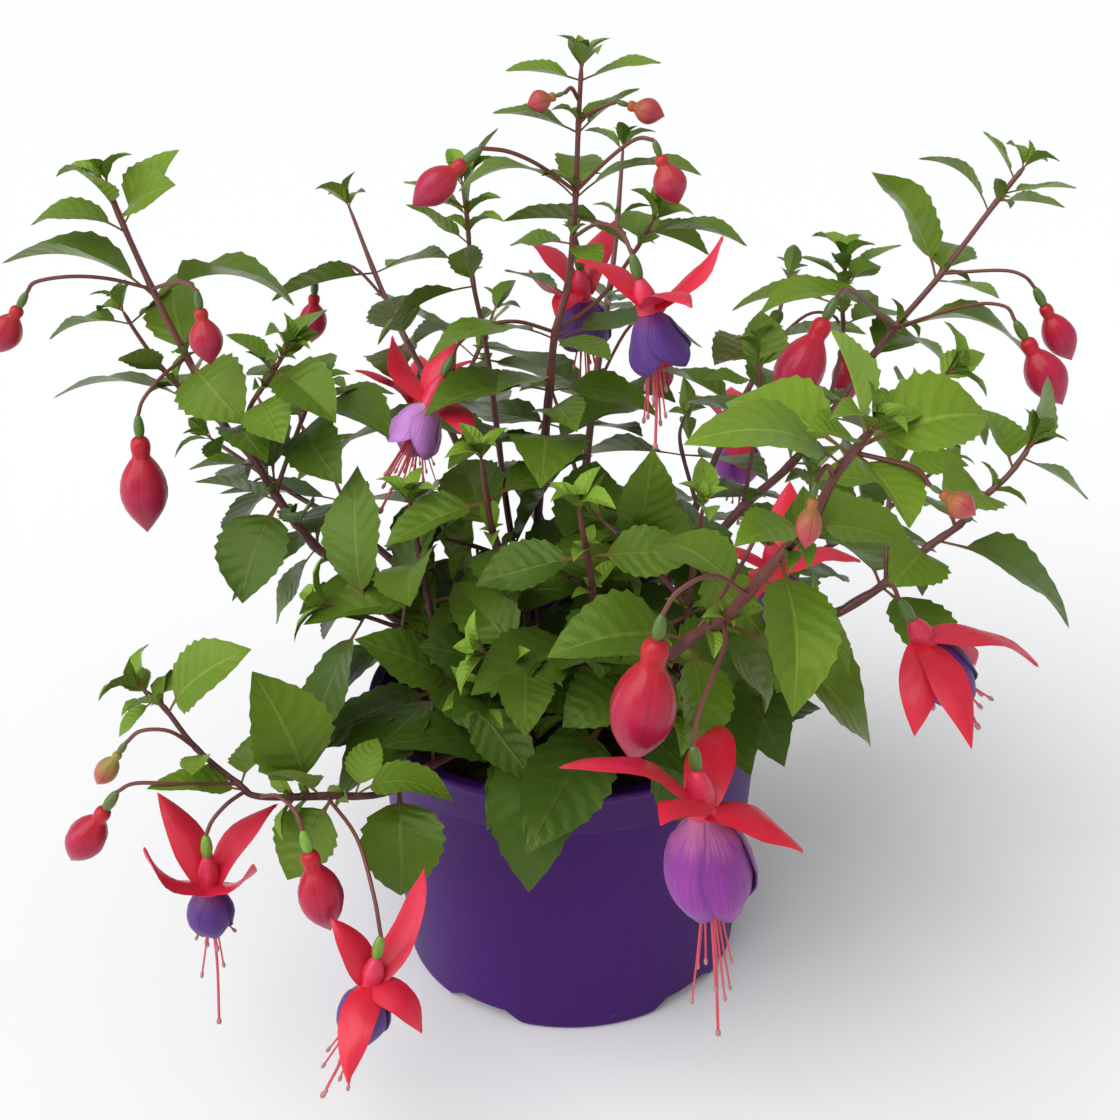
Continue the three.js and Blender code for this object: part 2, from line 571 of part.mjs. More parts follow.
// The place and the way ahead at a share of a line, counted evenly by its points.
function along(line, share) {
  const last = line.length - 1;
  const from = Math.min(Math.floor(share * last), last - 1);
  const ahead = line[from + 1].clone().sub(line[from]);
  const place = line[from].clone().addScaledVector(ahead, share * last - from);
  return { place, ahead: ahead.normalize() };
}

// Two directions square to an axis, so that across, over and axis turn the same way as X, Y, Z.
function squareTo(axis) {
  const across = Math.abs(axis.x) < 0.9 ? new THREE.Vector3(1, 0, 0) : new THREE.Vector3(0, 1, 0);
  across.addScaledVector(axis, -across.dot(axis)).normalize();
  return { across, over: axis.clone().cross(across) };
}

// A round stalk about a line, from its two end radii or from a radius for every point.
function stalk(line, radii, sides, grow = 0) {
  const last = line.length - 1;
  let across = null;
  const radiusAt = (i) => (radii.length > 2 ? radii[i] : THREE.MathUtils.lerp(...radii, i / last));
  const rings = line.map((centre, i) => {
    const ahead = line[Math.min(i + 1, last)].clone().sub(line[Math.max(i - 1, 0)]).normalize();
    across = across ? across.clone().addScaledVector(ahead, -across.dot(ahead)) : squareTo(ahead).across;
    across.normalize();
    return ring(centre, across, ahead.clone().cross(across), radiusAt(i) + grow, sides);
  });
  return loft(rings);
}

// A round form about an axis, from rows of [distance along it, radius].
function spindle(start, axis, profile, sides, lobe = 0) {
  const { across, over } = squareTo(axis);
  return loft(
    profile.map(([distance, radius]) =>
      ring(start.clone().addScaledVector(axis, distance), across, over, radius, sides, lobe),
    ),
  );
}

// The place, normal and side of a blade that arches from its base to its tip.
function bladeFrame(base, tip, roll, arch, facing = UP) {
  const chord = tip.clone().sub(base);
  const length = chord.length();
  const ahead = chord.normalize();
  const normal = facing.clone().addScaledVector(ahead, -ahead.dot(facing));
  if (normal.length() < 0.2) normal.set(0, -1, 0).addScaledVector(ahead, ahead.y);
  normal.normalize().applyAxisAngle(ahead, degrees(roll));
  const side = ahead.clone().cross(normal);
  return (u) => ({
    place: base
      .clone()
      .addScaledVector(ahead, length * u)
      .addScaledVector(normal, 4 * arch * length * u * (1 - u)),
    normal: normal.clone().addScaledVector(ahead, -4 * arch * (1 - 2 * u)).normalize(),
    side,
  });
}

// The way a leaf's upper face looks: up, and outward from the plant the further out it grows.
function leafFacing({ x, y }) {
  const share = LEAF_LEAN / Math.max(LEAN_REACH, Math.hypot(x, y));
  return new THREE.Vector3(x * share, y * share, 1).normalize();
}

// A blade on a three-cornered root, with a ridge down the middle of each face and a thin edge.
function blade(frame, width, outline, thickness, rootSize, segments, grow = 0) {
  const at = (u, offset, lift) => {
    const { place, normal, side } = frame(u);
    return place.addScaledVector(side, offset).addScaledVector(normal, lift);
  };
  const size = rootSize + grow;
  const tip = at(1, 0, 0);
  const corners = [];
  const [top, left, right] = [at(0, 0, size), at(0, -size, -size / 2), at(0, size, -size / 2)];
  const ridges = [1, -1].map((face) =>
    Array.from({ length: segments - 1 }, (_, j) => at((j + 1) / segments, 0, face * (thickness / 2 + grow))),
  );
  for (const side of [1, -1]) {
    const edges = outline.map(([u, share, extra]) => at(u, side * ((share * width) / 2 + extra + grow), 0));
    edges.push(tip);
    const reach = [...outline.map(([u]) => u), 1];
    const bottomRoot = side > 0 ? right : left;
    const add = (face, a, b, c) => corners.push(...(side * face > 0 ? [a, b, c] : [a, c, b]));
    for (const face of [1, -1]) {
      const mids = ridges[face > 0 ? 0 : 1];
      add(face, face > 0 ? top : bottomRoot, edges[0], mids[0]);
      let m = 0;
      for (let e = 0; e + 1 < edges.length; e++) {
        if (m + 1 < mids.length && reach[e] > (m + 1) / segments) {
          add(face, mids[m], edges[e], mids[m + 1]);
          m += 1;
        }
        add(face, mids[m], edges[e], edges[e + 1]);
      }
    }
    add(1, top, bottomRoot, edges[0]);
  }
  corners.push(right, left, ridges[1][0], top, left, right);
  return solidOf(geometryOfPoints(corners));
}

// Where a leaf to the given tip leaves a shoot: just inside the skin, on the side of the tip.
function leafRoot(line, share, tip) {
  const { place, ahead } = along(line, share - NODE_SHIFT / (line.length - 1));
  const outward = tip.clone().sub(place);
  outward.addScaledVector(ahead, -outward.dot(ahead)).normalize();
  return place.addScaledVector(outward, LEAF_ROOT_DEPTH);
}

// Leaves as [base, tip, width, roll, arch], with draws that vary the roll of each.
function handLeaves({ line, path, leaves }, draw) {
  const last = path.length - 1;
  return leaves.map(([count, x, y, z, width, roll = 0, ownArch = LEAF_ARCH]) => {
    const turn = roll + LEAF_ROLL * (2 * draw() - 1);
    const tip = new THREE.Vector3(x, y, z);
    const root = leafRoot(line, count / last, tip);
    const arch = root.distanceTo(tip) < SMALL_LEAF ? SMALL_ARCH : ownArch;
    return [root, tip, width, turn, arch];
  });
}

// Opposite pairs up a shoot, each pair a quarter turn from the one below, smaller to the tip.
function ruledLeaves({ line, main, spacing = NODE_SPACING }, draw) {
  const length = line.slice(1).reduce((sum, place, i) => sum + place.distanceTo(line[i]), 0);
  const start = main ? FIRST_NODE : spacing * 0.7;
  const count = Math.max(1, Math.floor((length - start) / spacing) + 1);
  const leaves = [];
  for (let node = 0; node < count; node++) {
    const share = (start + ((length - start) * node) / count) / length;
    const { place: base, ahead } = along(line, share);
    const { across, over } = squareTo(ahead);
    const turn = degrees(90 * node + 50 * draw());
    const reach = THREE.MathUtils.lerp(RULED_LENGTH[0], RULED_LENGTH[1], share);
    for (const sign of [1, -1]) {
      const size = reach * (0.85 + 0.3 * draw());
      const heading = across
        .clone()
        .multiplyScalar(sign * Math.cos(turn))
        .addScaledVector(over, sign * Math.sin(turn))
        .addScaledVector(ahead, RULED_CLIMB);
      heading.z -= RULED_DROOP * (0.5 + draw());
      const tip = base.clone().addScaledVector(heading.normalize(), size);
      const roll = LEAF_ROLL * (2 * draw() - 1);
      leaves.push([leafRoot(line, share, tip), tip, size * LEAF_RATIO, roll, SMALL_ARCH]);
    }
  }
  return leaves;
}

// Ways to bend a leaf clear: moves of its tip sideways and up as shares of its length, then its size.
const BENDS = [
  [0, 0, 1], [0, 0.14, 1], [0, -0.14, 1], [0.16, 0, 1], [-0.16, 0, 1], [0.14, 0.18, 1],
  [-0.14, 0.18, 1], [0.14, -0.18, 1], [-0.14, -0.18, 1], [0, 0.32, 1], [0, -0.32, 1],
  [0.34, 0.1, 1], [-0.34, 0.1, 1], [0.3, -0.25, 0.8], [-0.3, -0.25, 0.8], [0, 0.5, 0.8],
  [0.5, 0.2, 0.7], [-0.5, 0.2, 0.7], [0, 0, 0.6], [0.3, 0.3, 0.6], [-0.3, 0.3, 0.6],
];

const pieces = [];
const guards = [];

function addPiece(node, solid) {
  const { min, max } = solid.boundingBox();
  pieces.push({ node, solid, min, max });
}

// Whether a solid meets any piece of the given list.
function meets(solid, others) {
  const { min, max } = solid.boundingBox();
  return others.some((other) => {
    if ([0, 1, 2].some((i) => other.min[i] > max[i] || other.max[i] < min[i])) return false;
    return !solid.intersect(other.solid).isEmpty();
  });
}

// Adds a leaf, bent clear of all other nodes and, where one bend does it, of its own stem's leaves.
function growLeaf(stem, [base, tip, leastWidth, roll, arch], outline) {
  const size = tip.distanceTo(base);
  const facing = leafFacing(base);
  const straight = bladeFrame(base, tip, roll, arch, facing)(0.5);
  const segments = arch > DEEP_ARCH ? 3 : 2;
  const strangers = pieces.filter(({ node }) => node !== stem);
  const sisters = guards.filter(({ node }) => node === stem);
  let spare = null;
  for (const [sideways, up, share] of BENDS) {
    const width = share * Math.max(leastWidth, LEAST_RATIO * size);
    const bent = base
      .clone()
      .lerp(tip, share)
      .addScaledVector(straight.side, sideways * share * size)
      .addScaledVector(straight.normal, up * share * size);
    const frame = bladeFrame(base, bent, roll, arch, facing);
    const shape = (grow) => blade(frame, width, outline, LEAF_THICKNESS, LEAF_ROOT, segments, grow);
    if (meets(shape(LEAF_CLEARANCE), strangers)) continue;
    const guardFrame = bladeFrame(frame(0.25).place, bent, roll, arch, facing);
    const guard = blade(guardFrame, width, [[0.5, 0.9, 0]], 1, 0.3, 2);
    spare ??= { leaf: shape(0), guard };
    if (meets(guard, sisters)) continue;
    spare = { leaf: shape(0), guard };
    break;
  }
  if (!spare) return;
  addPiece(stem, spare.leaf);
  const { min, max } = spare.guard.boundingBox();
  guards.push({ node: stem, solid: spare.guard, min, max });
}

// The pot: a lathe-turned wall and floor, foot gaps cut under the wall and drain holes.
function makePot() {
  const top = POT_HEIGHT;
  const ledge = top - RIM_BAND;
  const bandFoot = RIM_RADIUS - 1.5;
  const innerTop = RIM_RADIUS - LIP_WIDTH - 0.8;
  const floorTop = FLOOR_UNDERSIDE + 2;
  const footInner = BODY_FOOT_RADIUS - FOOT_RING_WIDTH;
  const profile = [
    [0, FLOOR_UNDERSIDE], [footInner, FLOOR_UNDERSIDE], [footInner, 0],
    [BODY_FOOT_RADIUS - 1.2, 0], [BODY_FOOT_RADIUS, 1.6],
    [BODY_TOP_RADIUS, ledge], [bandFoot, ledge],
    [RIM_RADIUS - 0.7, top - RIM_LINE], [RIM_RADIUS, top - RIM_LINE + 0.5],
    [RIM_RADIUS, top - 0.6], [RIM_RADIUS - 0.8, top],
    [innerTop, top], [BODY_TOP_RADIUS - WALL, ledge], [BODY_FOOT_RADIUS + 0.4 - WALL, floorTop],
    [0, floorTop],
  ];
  const outline = profile.map(([r, z]) => new THREE.Vector2(r, z));
  let pot = solidOf(new THREE.LatheGeometry(outline, POT_SIDES).rotateX(Math.PI / 2));
  const gap = new THREE.Shape([
    new THREE.Vector2(-FOOT_GAP_BOTTOM / 2, -1),
    new THREE.Vector2(FOOT_GAP_BOTTOM / 2, -1),
    new THREE.Vector2(FOOT_GAP_TOP / 2, FLOOR_UNDERSIDE),
    new THREE.Vector2(-FOOT_GAP_TOP / 2, FLOOR_UNDERSIDE),
  ]);
  const cutDepth = 2 * FOOT_RING_WIDTH + 4;
  for (let i = 0; i < FOOT_COUNT; i++) {
    const cutter = new THREE.ExtrudeGeometry(gap, { depth: cutDepth, bevelEnabled: false })
      .rotateX(Math.PI / 2)
      .rotateZ(Math.PI / 2)
      .translate(footInner - FOOT_RING_WIDTH, 0, 0)
      .rotateZ(degrees(FOOT_GAP_MIDDLE + (360 * i) / FOOT_COUNT));
    pot = pot.subtract(solidOf(cutter));
  }
  for (let i = 0; i < DRAIN_COUNT; i++) {
    const angle = (2 * Math.PI * (i + 0.5)) / DRAIN_COUNT;
    const drain = new THREE.CylinderGeometry(DRAIN_RADIUS, DRAIN_RADIUS, 4 * floorTop, 6)
      .rotateX(Math.PI / 2)
      .translate(DRAIN_CIRCLE * Math.cos(angle), DRAIN_CIRCLE * Math.sin(angle), floorTop);
    pot = pot.subtract(solidOf(drain));
  }
  return pot;
}

// The soil fills the pot to below the rim, with a hole round the foot of every stem.
function makeSoil(footings) {
  const floorTop = FLOOR_UNDERSIDE + 2;
  const edge = BODY_FOOT_RADIUS + 0.4 - WALL - 0.6;
  const rim = BODY_TOP_RADIUS - WALL - 0.6;
  const outline = [
    [0, floorTop + GAP], [edge - 1, floorTop + GAP], [rim, POT_HEIGHT - RIM_BAND],
    [rim, SOIL_LEVEL - 2], [rim - 10, SOIL_LEVEL], [30, SOIL_LEVEL],
    [0, SOIL_LEVEL + 1],
  ];
  const rings = outline.map(([r, z]) => new THREE.Vector2(r, z));
  const turned = new THREE.LatheGeometry(rings, SOIL_SIDES).rotateX(Math.PI / 2);
  const places = turned.attributes.position;
  for (let i = 0; i < places.count; i++) {
    const [x, y, z] = [places.getX(i), places.getY(i), places.getZ(i)];
    if (z < SOIL_LEVEL - 3 || Math.hypot(x, y) < 1) continue;
    const bump = Math.sin(0.31 * x + 1.7) * Math.cos(0.27 * y) + 0.6 * Math.sin(0.5 * (x - y));
    places.setZ(i, z + SOIL_BUMP * bump);
  }
  return footings.reduce((soil, footing) => soil.subtract(footing), solidOf(turned));
}

// The way a flower or a bud hangs from the end of its pedicel.
function hanging(pedicel, end) {
  const start = point(pedicel[pedicel.length - 1]);
  const axis = end.clone().sub(start);
  const length = axis.length();
  return { start, axis: axis.normalize(), length };
}

function makePedicel(pedicel, end) {
  const { start, axis, length } = hanging(pedicel, end);
  const scale = Math.min(1, length / 30);
  const stem = spine(pedicel, pedicel.length - 1).slice(0, -1);
  const ovary = [[0, 0.8], [3.2, OVARY_RADIUS], [OVARY_LENGTH, 1.2]];
  const line = [...stem, ...ovary.map(([d]) => start.clone().addScaledVector(axis, d * scale))];
  const radii = [...stem.map(() => 0.65), ...ovary.map(([, r]) => Math.max(0.7, r * scale))];
  return stalk(line, radii, 3);
}

function makeBud(pedicel, end, radius) {
  const { start, axis, length } = hanging(pedicel, end);
  const from = OVARY_LENGTH * Math.min(1, length / 30) + GAP;
  const span = length - from;
  const profile = [[0, 0.3], [0.1, 0.43], [0.2, 0.38], [0.38, 0.84], [0.56, 1], [0.8, 0.63], [1, 0]];
  const sides = radius > 8 ? 8 : 6;
  const form = profile.map(([share, r]) => [from + span * share, r * radius]);
  return spindle(start, axis, form, sides, radius > 6 ? 0.05 : 0);
}

function flowerParts({ pedicel, cup, tube = TUBE_LENGTH }) {
  const { start, axis, length } = hanging(pedicel, point(cup));
  const mouth = OVARY_LENGTH + GAP + tube;
  return { start, axis, length, mouth, tube, at: (d) => start.clone().addScaledVector(axis, d) };
}

// Tube, four sepals, the stamens and the style: one scarlet body.
function makeCalyx(flower) {
  const { start, axis, mouth, length, tube: span, at } = flowerParts(flower);
  const top = OVARY_LENGTH + GAP;
  const bottom = mouth + (length - mouth) * 0.55;
  const tube = [
    [top, 1.3], [top + 0.4 * span, TUBE_RADIUS], [top + 0.76 * span, TUBE_RADIUS],
    [mouth, THROAT_RADIUS],
    [bottom, THROAT_RADIUS],
  ];
  const solids = [spindle(start, axis, tube, 6)];
  for (const [x, y, z, arch = 0.14] of flower.sepals) {
    const tip = new THREE.Vector3(x, y, z);
    const outward = tip.clone().sub(start);
    outward.addScaledVector(axis, -outward.dot(axis)).normalize();
    const root = at(mouth - 2.6).addScaledVector(outward, SEPAL_ROOT);
    const frame = bladeFrame(root, tip, 0, arch);
    solids.push(blade(frame, SEPAL_WIDTH, SEPAL_OUTLINE, SEPAL_THICKNESS, SEPAL_ROOT_SIZE, 2));
  }
  const { across, over } = squareTo(axis);
  const style = point(flower.style);
  const spread = style.distanceTo(at(bottom)) * STAMEN_SPREAD;
  for (let i = 0; i < STAMENS; i++) {
    const angle = degrees((360 * (i + 0.5)) / STAMENS);
    const end = at(bottom)
      .lerp(style, 0.55 + 0.06 * i)
      .addScaledVector(across, spread * Math.cos(angle))
      .addScaledVector(over, spread * Math.sin(angle));
    const root = at(bottom - 2)
      .addScaledVector(across, 0.8 * Math.cos(angle))
      .addScaledVector(over, 0.8 * Math.sin(angle));
    solids.push(stalk([root, end], [FILAMENT_RADIUS, ANTHER_RADIUS], 3));
  }
  const line = [at(bottom - 2), style];
  solids.push(stalk(line, [FILAMENT_RADIUS + 0.1, STIGMA_RADIUS], 4));
  return join(solids);
}

// The cup of four petals, each one edge outside its neighbour: a shell with four steps.
function makeCup(flower) {
  const { axis, mouth, length, at } = flowerParts(flower);
  const { across, over } = squareTo(axis);
  const depth = length - mouth - 0.5;
  const end = (flower.flare ?? CUP_FLARE) * flower.radius;
  const rows = [[0, 2.9], [0.5, flower.radius], [1, end]];
  const circle = ([share, radius], inset) =>
    PETAL_STEPS.map(([turn, reach, droop]) => {
      const angle = degrees(turn);
      const wide = radius * (share ? reach : 1) - inset;
      return at(mouth + 0.5 + depth * share * droop)
        .addScaledVector(across, wide * Math.cos(angle))
        .addScaledVector(over, wide * Math.sin(angle));
    });
  const outer = rows.map((row) => circle(row, 0));
  const inner = [rows[2], rows[0]].map((row) => circle(row, PETAL_THICKNESS));
  const closed = [...outer, ...inner];
  closed.push(closed[0]);
  const count = PETAL_STEPS.length;
  const corners = [];
  for (let r = 0; r + 1 < closed.length; r++) {
    for (let i = 0; i < count; i++) {
      const j = (i + 1) % count;
      corners.push(closed[r][i], closed[r][j], closed[r + 1][j]);
      corners.push(closed[r][i], closed[r + 1][j], closed[r + 1][i]);
    }
  }
  return solidOf(geometryOfPoints(corners));
}

const plant = new THREE.Group();

function addNode(name, solid, color, roughness) {
  const material = new THREE.MeshStandardMaterial({ color, roughness, metalness: 0 });
  const mesh = new THREE.Mesh(geometryOfSolid(solid), material);
  mesh.name = name;
  plant.add(mesh);
}

// Stems with their side shoots, pedicels and ovaries come first, then flowers and buds.
const ruled = RULED_SHOOTS.map(([stem, radius, path, spacing]) => ({ stem, radius, path, spacing }));
const shoots = [...SHOOTS, ...ruled].map((shoot) => {
  const main = shoot.path[0][2] < SOIL_LEVEL;
  return { ...shoot, main, line: spine(shoot.path, main ? 8 : 3) };
});
const footings = [];
for (const name of new Set(shoots.map(({ stem }) => stem))) {
  const solids = [];
  for (const { line, radius, main } of shoots.filter(({ stem }) => stem === name)) {
    solids.push(stalk(line, radius, main ? 4 : 3));
    if (main) {
      const under = line[0].clone().lerp(line[1], -HOLE_CLEARANCE / line[0].distanceTo(line[1]));
      footings.push(stalk([under, line[1], line[2]], [radius[0], radius[0]], 4, HOLE_CLEARANCE));
    }
  }
  for (const [, stem, pedicel, tip] of BUDS) {
    if (stem === name) solids.push(makePedicel(pedicel, point(tip)));
  }
  for (const { stem, pedicel, cup } of FLOWERS) {
    if (stem === name) solids.push(makePedicel(pedicel, point(cup)));
  }
  addPiece(name, join(solids));
}
const pot = makePot();
const soil = makeSoil(footings);
addPiece("pot", pot);
addPiece("soil", soil);
for (const [name, , pedicel, tip, radius] of BUDS) {
  addPiece(name, makeBud(pedicel, point(tip), radius));
}
for (const flower of FLOWERS) {
  addPiece(flower.name + "_calyx", makeCalyx(flower));
  addPiece(flower.name + "_cup", makeCup(flower));
}

// Then the leaves: those with a place of their own and those by the rule.
const draw = drawer(SEED);
for (const shoot of shoots) {
  const leaves = shoot.leaves ? handLeaves(shoot, draw) : ruledLeaves(shoot, draw);
  for (const leaf of leaves) {
    const plain = !shoot.leaves || leaf[0].distanceTo(leaf[1]) < SMALL_LEAF;
    growLeaf(shoot.stem, leaf, plain ? PLAIN_OUTLINE : LEAF_OUTLINE);
  }
}

const colourOf = (name) => {
  const flower = FLOWERS.find((row) => name === row.name + "_cup");
  if (flower) return flower.colour;
  if (name.endsWith("_calyx")) return SCARLET;
  if (name.startsWith("bud")) return BUD_RED;
  if (name === "pot") return POT_PURPLE;
  if (name === "soil") return SOIL_BROWN;
  return name.startsWith("stem_inner") ? DARK_GREEN : GREEN;
};
for (const name of new Set(pieces.map(({ node }) => node))) {
  const own = pieces.filter(({ node }) => node === name).map(({ solid }) => solid);
  const body = oneBody(name, join(own));
  const fused = name.startsWith("stem") || name.endsWith("_calyx");
  const solid = fused ? oneBody(name, welded(body)) : body;
  addNode(name, solid, colourOf(name), name === "pot" ? 0.4 : 0.6);
}

export default plant;
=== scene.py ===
"""A potted fuchsia in flower: the fine form and finish of every piece, the floor, lights and camera."""

import json
import math

import bmesh
import bpy
import numpy as np
from bpy.props import FloatProperty, FloatVectorProperty, IntProperty, PointerProperty
from bpy.types import Operator, Panel, PropertyGroup
from mathutils import Matrix, Vector, kdtree, noise


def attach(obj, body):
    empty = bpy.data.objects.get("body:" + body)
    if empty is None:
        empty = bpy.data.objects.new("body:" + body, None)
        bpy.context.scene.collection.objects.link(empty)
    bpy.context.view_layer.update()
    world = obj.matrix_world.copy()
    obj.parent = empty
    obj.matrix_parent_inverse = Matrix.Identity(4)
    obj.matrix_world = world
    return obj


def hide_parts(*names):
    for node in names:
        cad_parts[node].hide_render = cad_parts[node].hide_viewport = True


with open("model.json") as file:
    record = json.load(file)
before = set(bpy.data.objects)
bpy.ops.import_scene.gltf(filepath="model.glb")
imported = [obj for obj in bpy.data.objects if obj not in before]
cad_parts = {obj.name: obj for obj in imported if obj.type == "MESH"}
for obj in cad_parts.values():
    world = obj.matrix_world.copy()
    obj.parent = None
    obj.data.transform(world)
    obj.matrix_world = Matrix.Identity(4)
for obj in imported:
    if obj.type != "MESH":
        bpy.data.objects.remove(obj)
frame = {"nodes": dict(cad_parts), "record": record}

bl_info = {
    "name": "Potted Fuchsia",
    "version": (1, 0, 0),
    "blender": (4, 5, 0),
    "location": "3D View > Sidebar > Fuchsia",
    "description": "Gives a potted fuchsia its fine leaves, flowers, pot and soil",
    "category": "Add Mesh",
}

# All places and sizes are in millimetres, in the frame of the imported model, unless a note says metres.
MM = 0.001
PIXELS = 1120
SENSOR = 36
UP = Vector((0, 0, 1))
SEED = 7

# Edges that turn by more than this many degrees stay sharp.
SHARP = {"pot": 40, "soil": 30, "shoot": 40, "bud": 60, "calyx": 60, "cup": 70}

# The pot
POT_HEIGHT = 103.5
RIM_RADIUS = 70
RIM_BAND = 14.9
RIM_LINE = 3
LIP_WIDTH = 3.2
BODY_TOP_RADIUS = 67.2
BODY_FOOT_RADIUS = 61.2
WALL = 1.8
FLOOR_UNDERSIDE = 5.5
FOOT_RING_WIDTH = 4.2
FOOT_COUNT = 5
FOOT_GAP_MIDDLE = -49
FOOT_GAP_TOP = 18
FOOT_GAP_BOTTOM = 36.5
FOOT_GAP_REACH = (52.8, 65.2)
DRAIN_COUNT = 8
DRAIN_RADIUS = 4.5
DRAIN_CIRCLE = 40
DRAIN_DEPTH = 8
POT_SIDES = 120
CORNER = 0.5

# The soil
SOIL_LEVEL = 94
SOIL_RADIUS = 64.8
SOIL_RING = 1.8
SOIL_SIDES = 96
SOIL_FOOT = [(57.0, 7.9), (57.6, 8.4), (60, 40), (62.4, 70)]
SOIL_SWELL = 0.9
SOIL_ROUGHNESS = 1.5
CRUMBS = 520
CRUMB_REACH = 63

# Leaves
LEAST_RATIO = 0.4
LEAF_RATIO = 0.46
LEAF_LEAN = 0.45
LEAN_REACH = 45
LEAF_ARCH = 0.1
SMALL_LEAF = 30
SMALL_ARCH = 0.04
LEAF_ROLL = 14
LEAF_ROOT_DEPTH = 0.35
NODE_SHIFT = 0.12
PETIOLE = 0.17
TEETH = 9
TOOTH_DEPTH = 0.06
FULLEST = 0.3034
LARGE_LEAF = 10
LARGE_LEAF_GROWTH = 1.08
YOUNG_LEAF = 34
YOUNG_LEAF_SPAN = 20
TIP_MATCH = 0.45
TUFT_CHANCE = 0.6
TIP_TUFT = (16, 12, 8, 5)

# How far the upper and the lower skin of a blade stand off the plane between them.
LEAF_SKINS = (0.25, -0.35)
SMALL_SKINS = (0.1, -0.12)
SEPAL_SKINS = (0.45, -0.45)

# The light on a leaf: the height and the reach where it starts, over how far it grows, and its shares.
LIT_HEIGHT = 84
LIT_CLIMB = 165
LIT_REACH = 70
LIT_SPREAD = 100
LIT_SHARES = (0.78, 0.32, 0.22)

# Leaves that follow the rule of growth: their reach at the foot and at the tip of a shoot.
RULED_LENGTH = [56, 37]
RULED_CLIMB = 0.3
RULED_DROOP = 0.32
FIRST_NODE = 36

# Stalks, with the runs of their middle lines: a path from the soil, one from a shoot, a fine one.
MAIN_RUNS = 8
SIDE_RUNS = 3
FINE_RUNS = 6
PEDICEL_RUNS = 5
STALK_RADIUS = 0.62
NODE_SWELL = 0.22
OLD_WOOD = 100
YOUNG_WOOD = 240

# Flowers
OVARY_LENGTH = 7
FRESH_OVARY = 1.25
DULL_OVARY = 0.35
FULL_BUD = 30
RIPE_BUD_RADIUS = 5.4
RIPENING = 2.6
SEAM_DEPTH = 0.055
GAP = 0.35
TUBE_LENGTH = 10
CUP_FLARE = 0.84
CUP_FOOT_RADIUS = 2.6
CLOSED_CUP = 0.7
OPENING = 0.46
SEPAL_WIDTH = 11
SEPAL_ROOT = 1.7
SEPAL_ARCH = 0.14
STAMENS = 8
STAMEN_REACH = 0.45
BIG_FLOWER = 9
BIG_FLOWER_GROWTH = 1.18
PETALS = 4
PETAL_TURN = 66
PETAL_WALL = 0.4
PETAL_LAP = 0.075
PETAL_WAVE = 0.3

# Threads: where they start in the cup, their radii, and their ends as places along the last way and radii.
THREAD_ROOT = 0.35
FILAMENT_RADIUS = 0.3
STYLE_RADIUS = 0.45
ANTHER = ((-0.3, 0.4, 1.3, 1.9), [0.3, 0.58, 0.58, 0.25])
STIGMA = ((-0.6, 0.2, 1.2, 1.8), [0.4, 0.85, 0.85, 0.3])

# Forms of unit or full size, as rows: share of length and half width of a blade, or radius and height.
SMALL_ROWS = [(0, 0.05), (0.12, 0.06), (0.28, 0.36), (0.46, 0.5), (0.66, 0.4), (0.85, 0.19), (1, 0)]
OVARY_ROWS = [
    (0.5, -0.2), (0.85, 0.2), (1.2, 0.9), (1.5, 2), (1.7, 3.4), (1.75, 4.5), (1.6, 5.7), (1.4, 6.6),
    (1.1, 7.2),
]
BUD_ROWS = [
    (0.18, 0), (0.28, 0.012), (0.37, 0.04), (0.415, 0.085), (0.415, 0.125), (0.385, 0.165), (0.365, 0.19),
    (0.405, 0.215), (0.52, 0.25), (0.67, 0.3), (0.83, 0.37), (0.94, 0.45), (1, 0.55), (0.97, 0.64),
    (0.84, 0.735), (0.63, 0.82), (0.41, 0.89), (0.22, 0.945), (0.09, 0.98), (0.03, 1),
]
TUBE_ROWS = [
    (1.0, 0), (1.5, 0.5), (2.0, 1.5), (2.6, 2.8), (3.1, 4.2), (3.3, 5.6), (3.2, 7), (3.05, 8.2), (3.2, 9.4),
    (3.35, 10.2), (3.0, 10.3), (2.4, 10.1), (1.2, 9.9),
]
SEPAL_ROWS = [
    (0, 0.3), (0.06, 0.38), (0.13, 0.43), (0.22, 0.47), (0.33, 0.5), (0.45, 0.49), (0.56, 0.455),
    (0.66, 0.39), (0.75, 0.31), (0.84, 0.21), (0.91, 0.12), (0.965, 0.045), (1, 0),
]

# A petal cup: share of its depth, share of its radius when it closes and when it flares.
CUP_ROWS = [
    (0, 0.3, 0.3), (0.1, 0.54, 0.5), (0.25, 0.83, 0.72), (0.42, 0.99, 0.88), (0.58, 1.04, 0.98),
    (0.74, 0.98, 1.07), (0.87, 0.8, 1.13), (1.05, 0.45, 1.15),
]

# The view of the plant: the camera's place, its right and its up, and its focus in pixels.
CAMERA_PLACE = (-1.7635, -456.065, 376.6846)
CAMERA_RIGHT = (0.99984284, -0.00783679, -0.0159019)
CAMERA_UP = (0.0177281, 0.44198528, 0.89684711)
CAMERA_FOCUS = 1500

# The width of the floor in metres, the sky's light, and how bright the sky looks behind the floor.
FLOOR_SIZE = 60
SKY_LIGHT = 0.45
SKY_BACKDROP = 1.0

# Soft lights: name, the side that it shines from, strength and spread in degrees.
LIGHTS = [
    ("key light", (-0.64, -0.6, 1.1), 2.25, 62),
    ("window light", (-1, -0.3, 0.2), 0.75, 40),
    ("fill light", (0.8, -0.9, 0.7), 0.15, 50),
]

# Petal colours: the body of a petal, its foot and its edge.
MAGENTA = ((0.24, 0.028, 0.27), (0.66, 0.2, 0.36), (0.1, 0.014, 0.19))
LILAC = ((0.5, 0.2, 0.56), (0.75, 0.36, 0.52), (0.4, 0.13, 0.46))
VIOLET_FOOT = (0.24, 0.03, 0.17)
VIOLET_EDGE = (0.045, 0.014, 0.1)

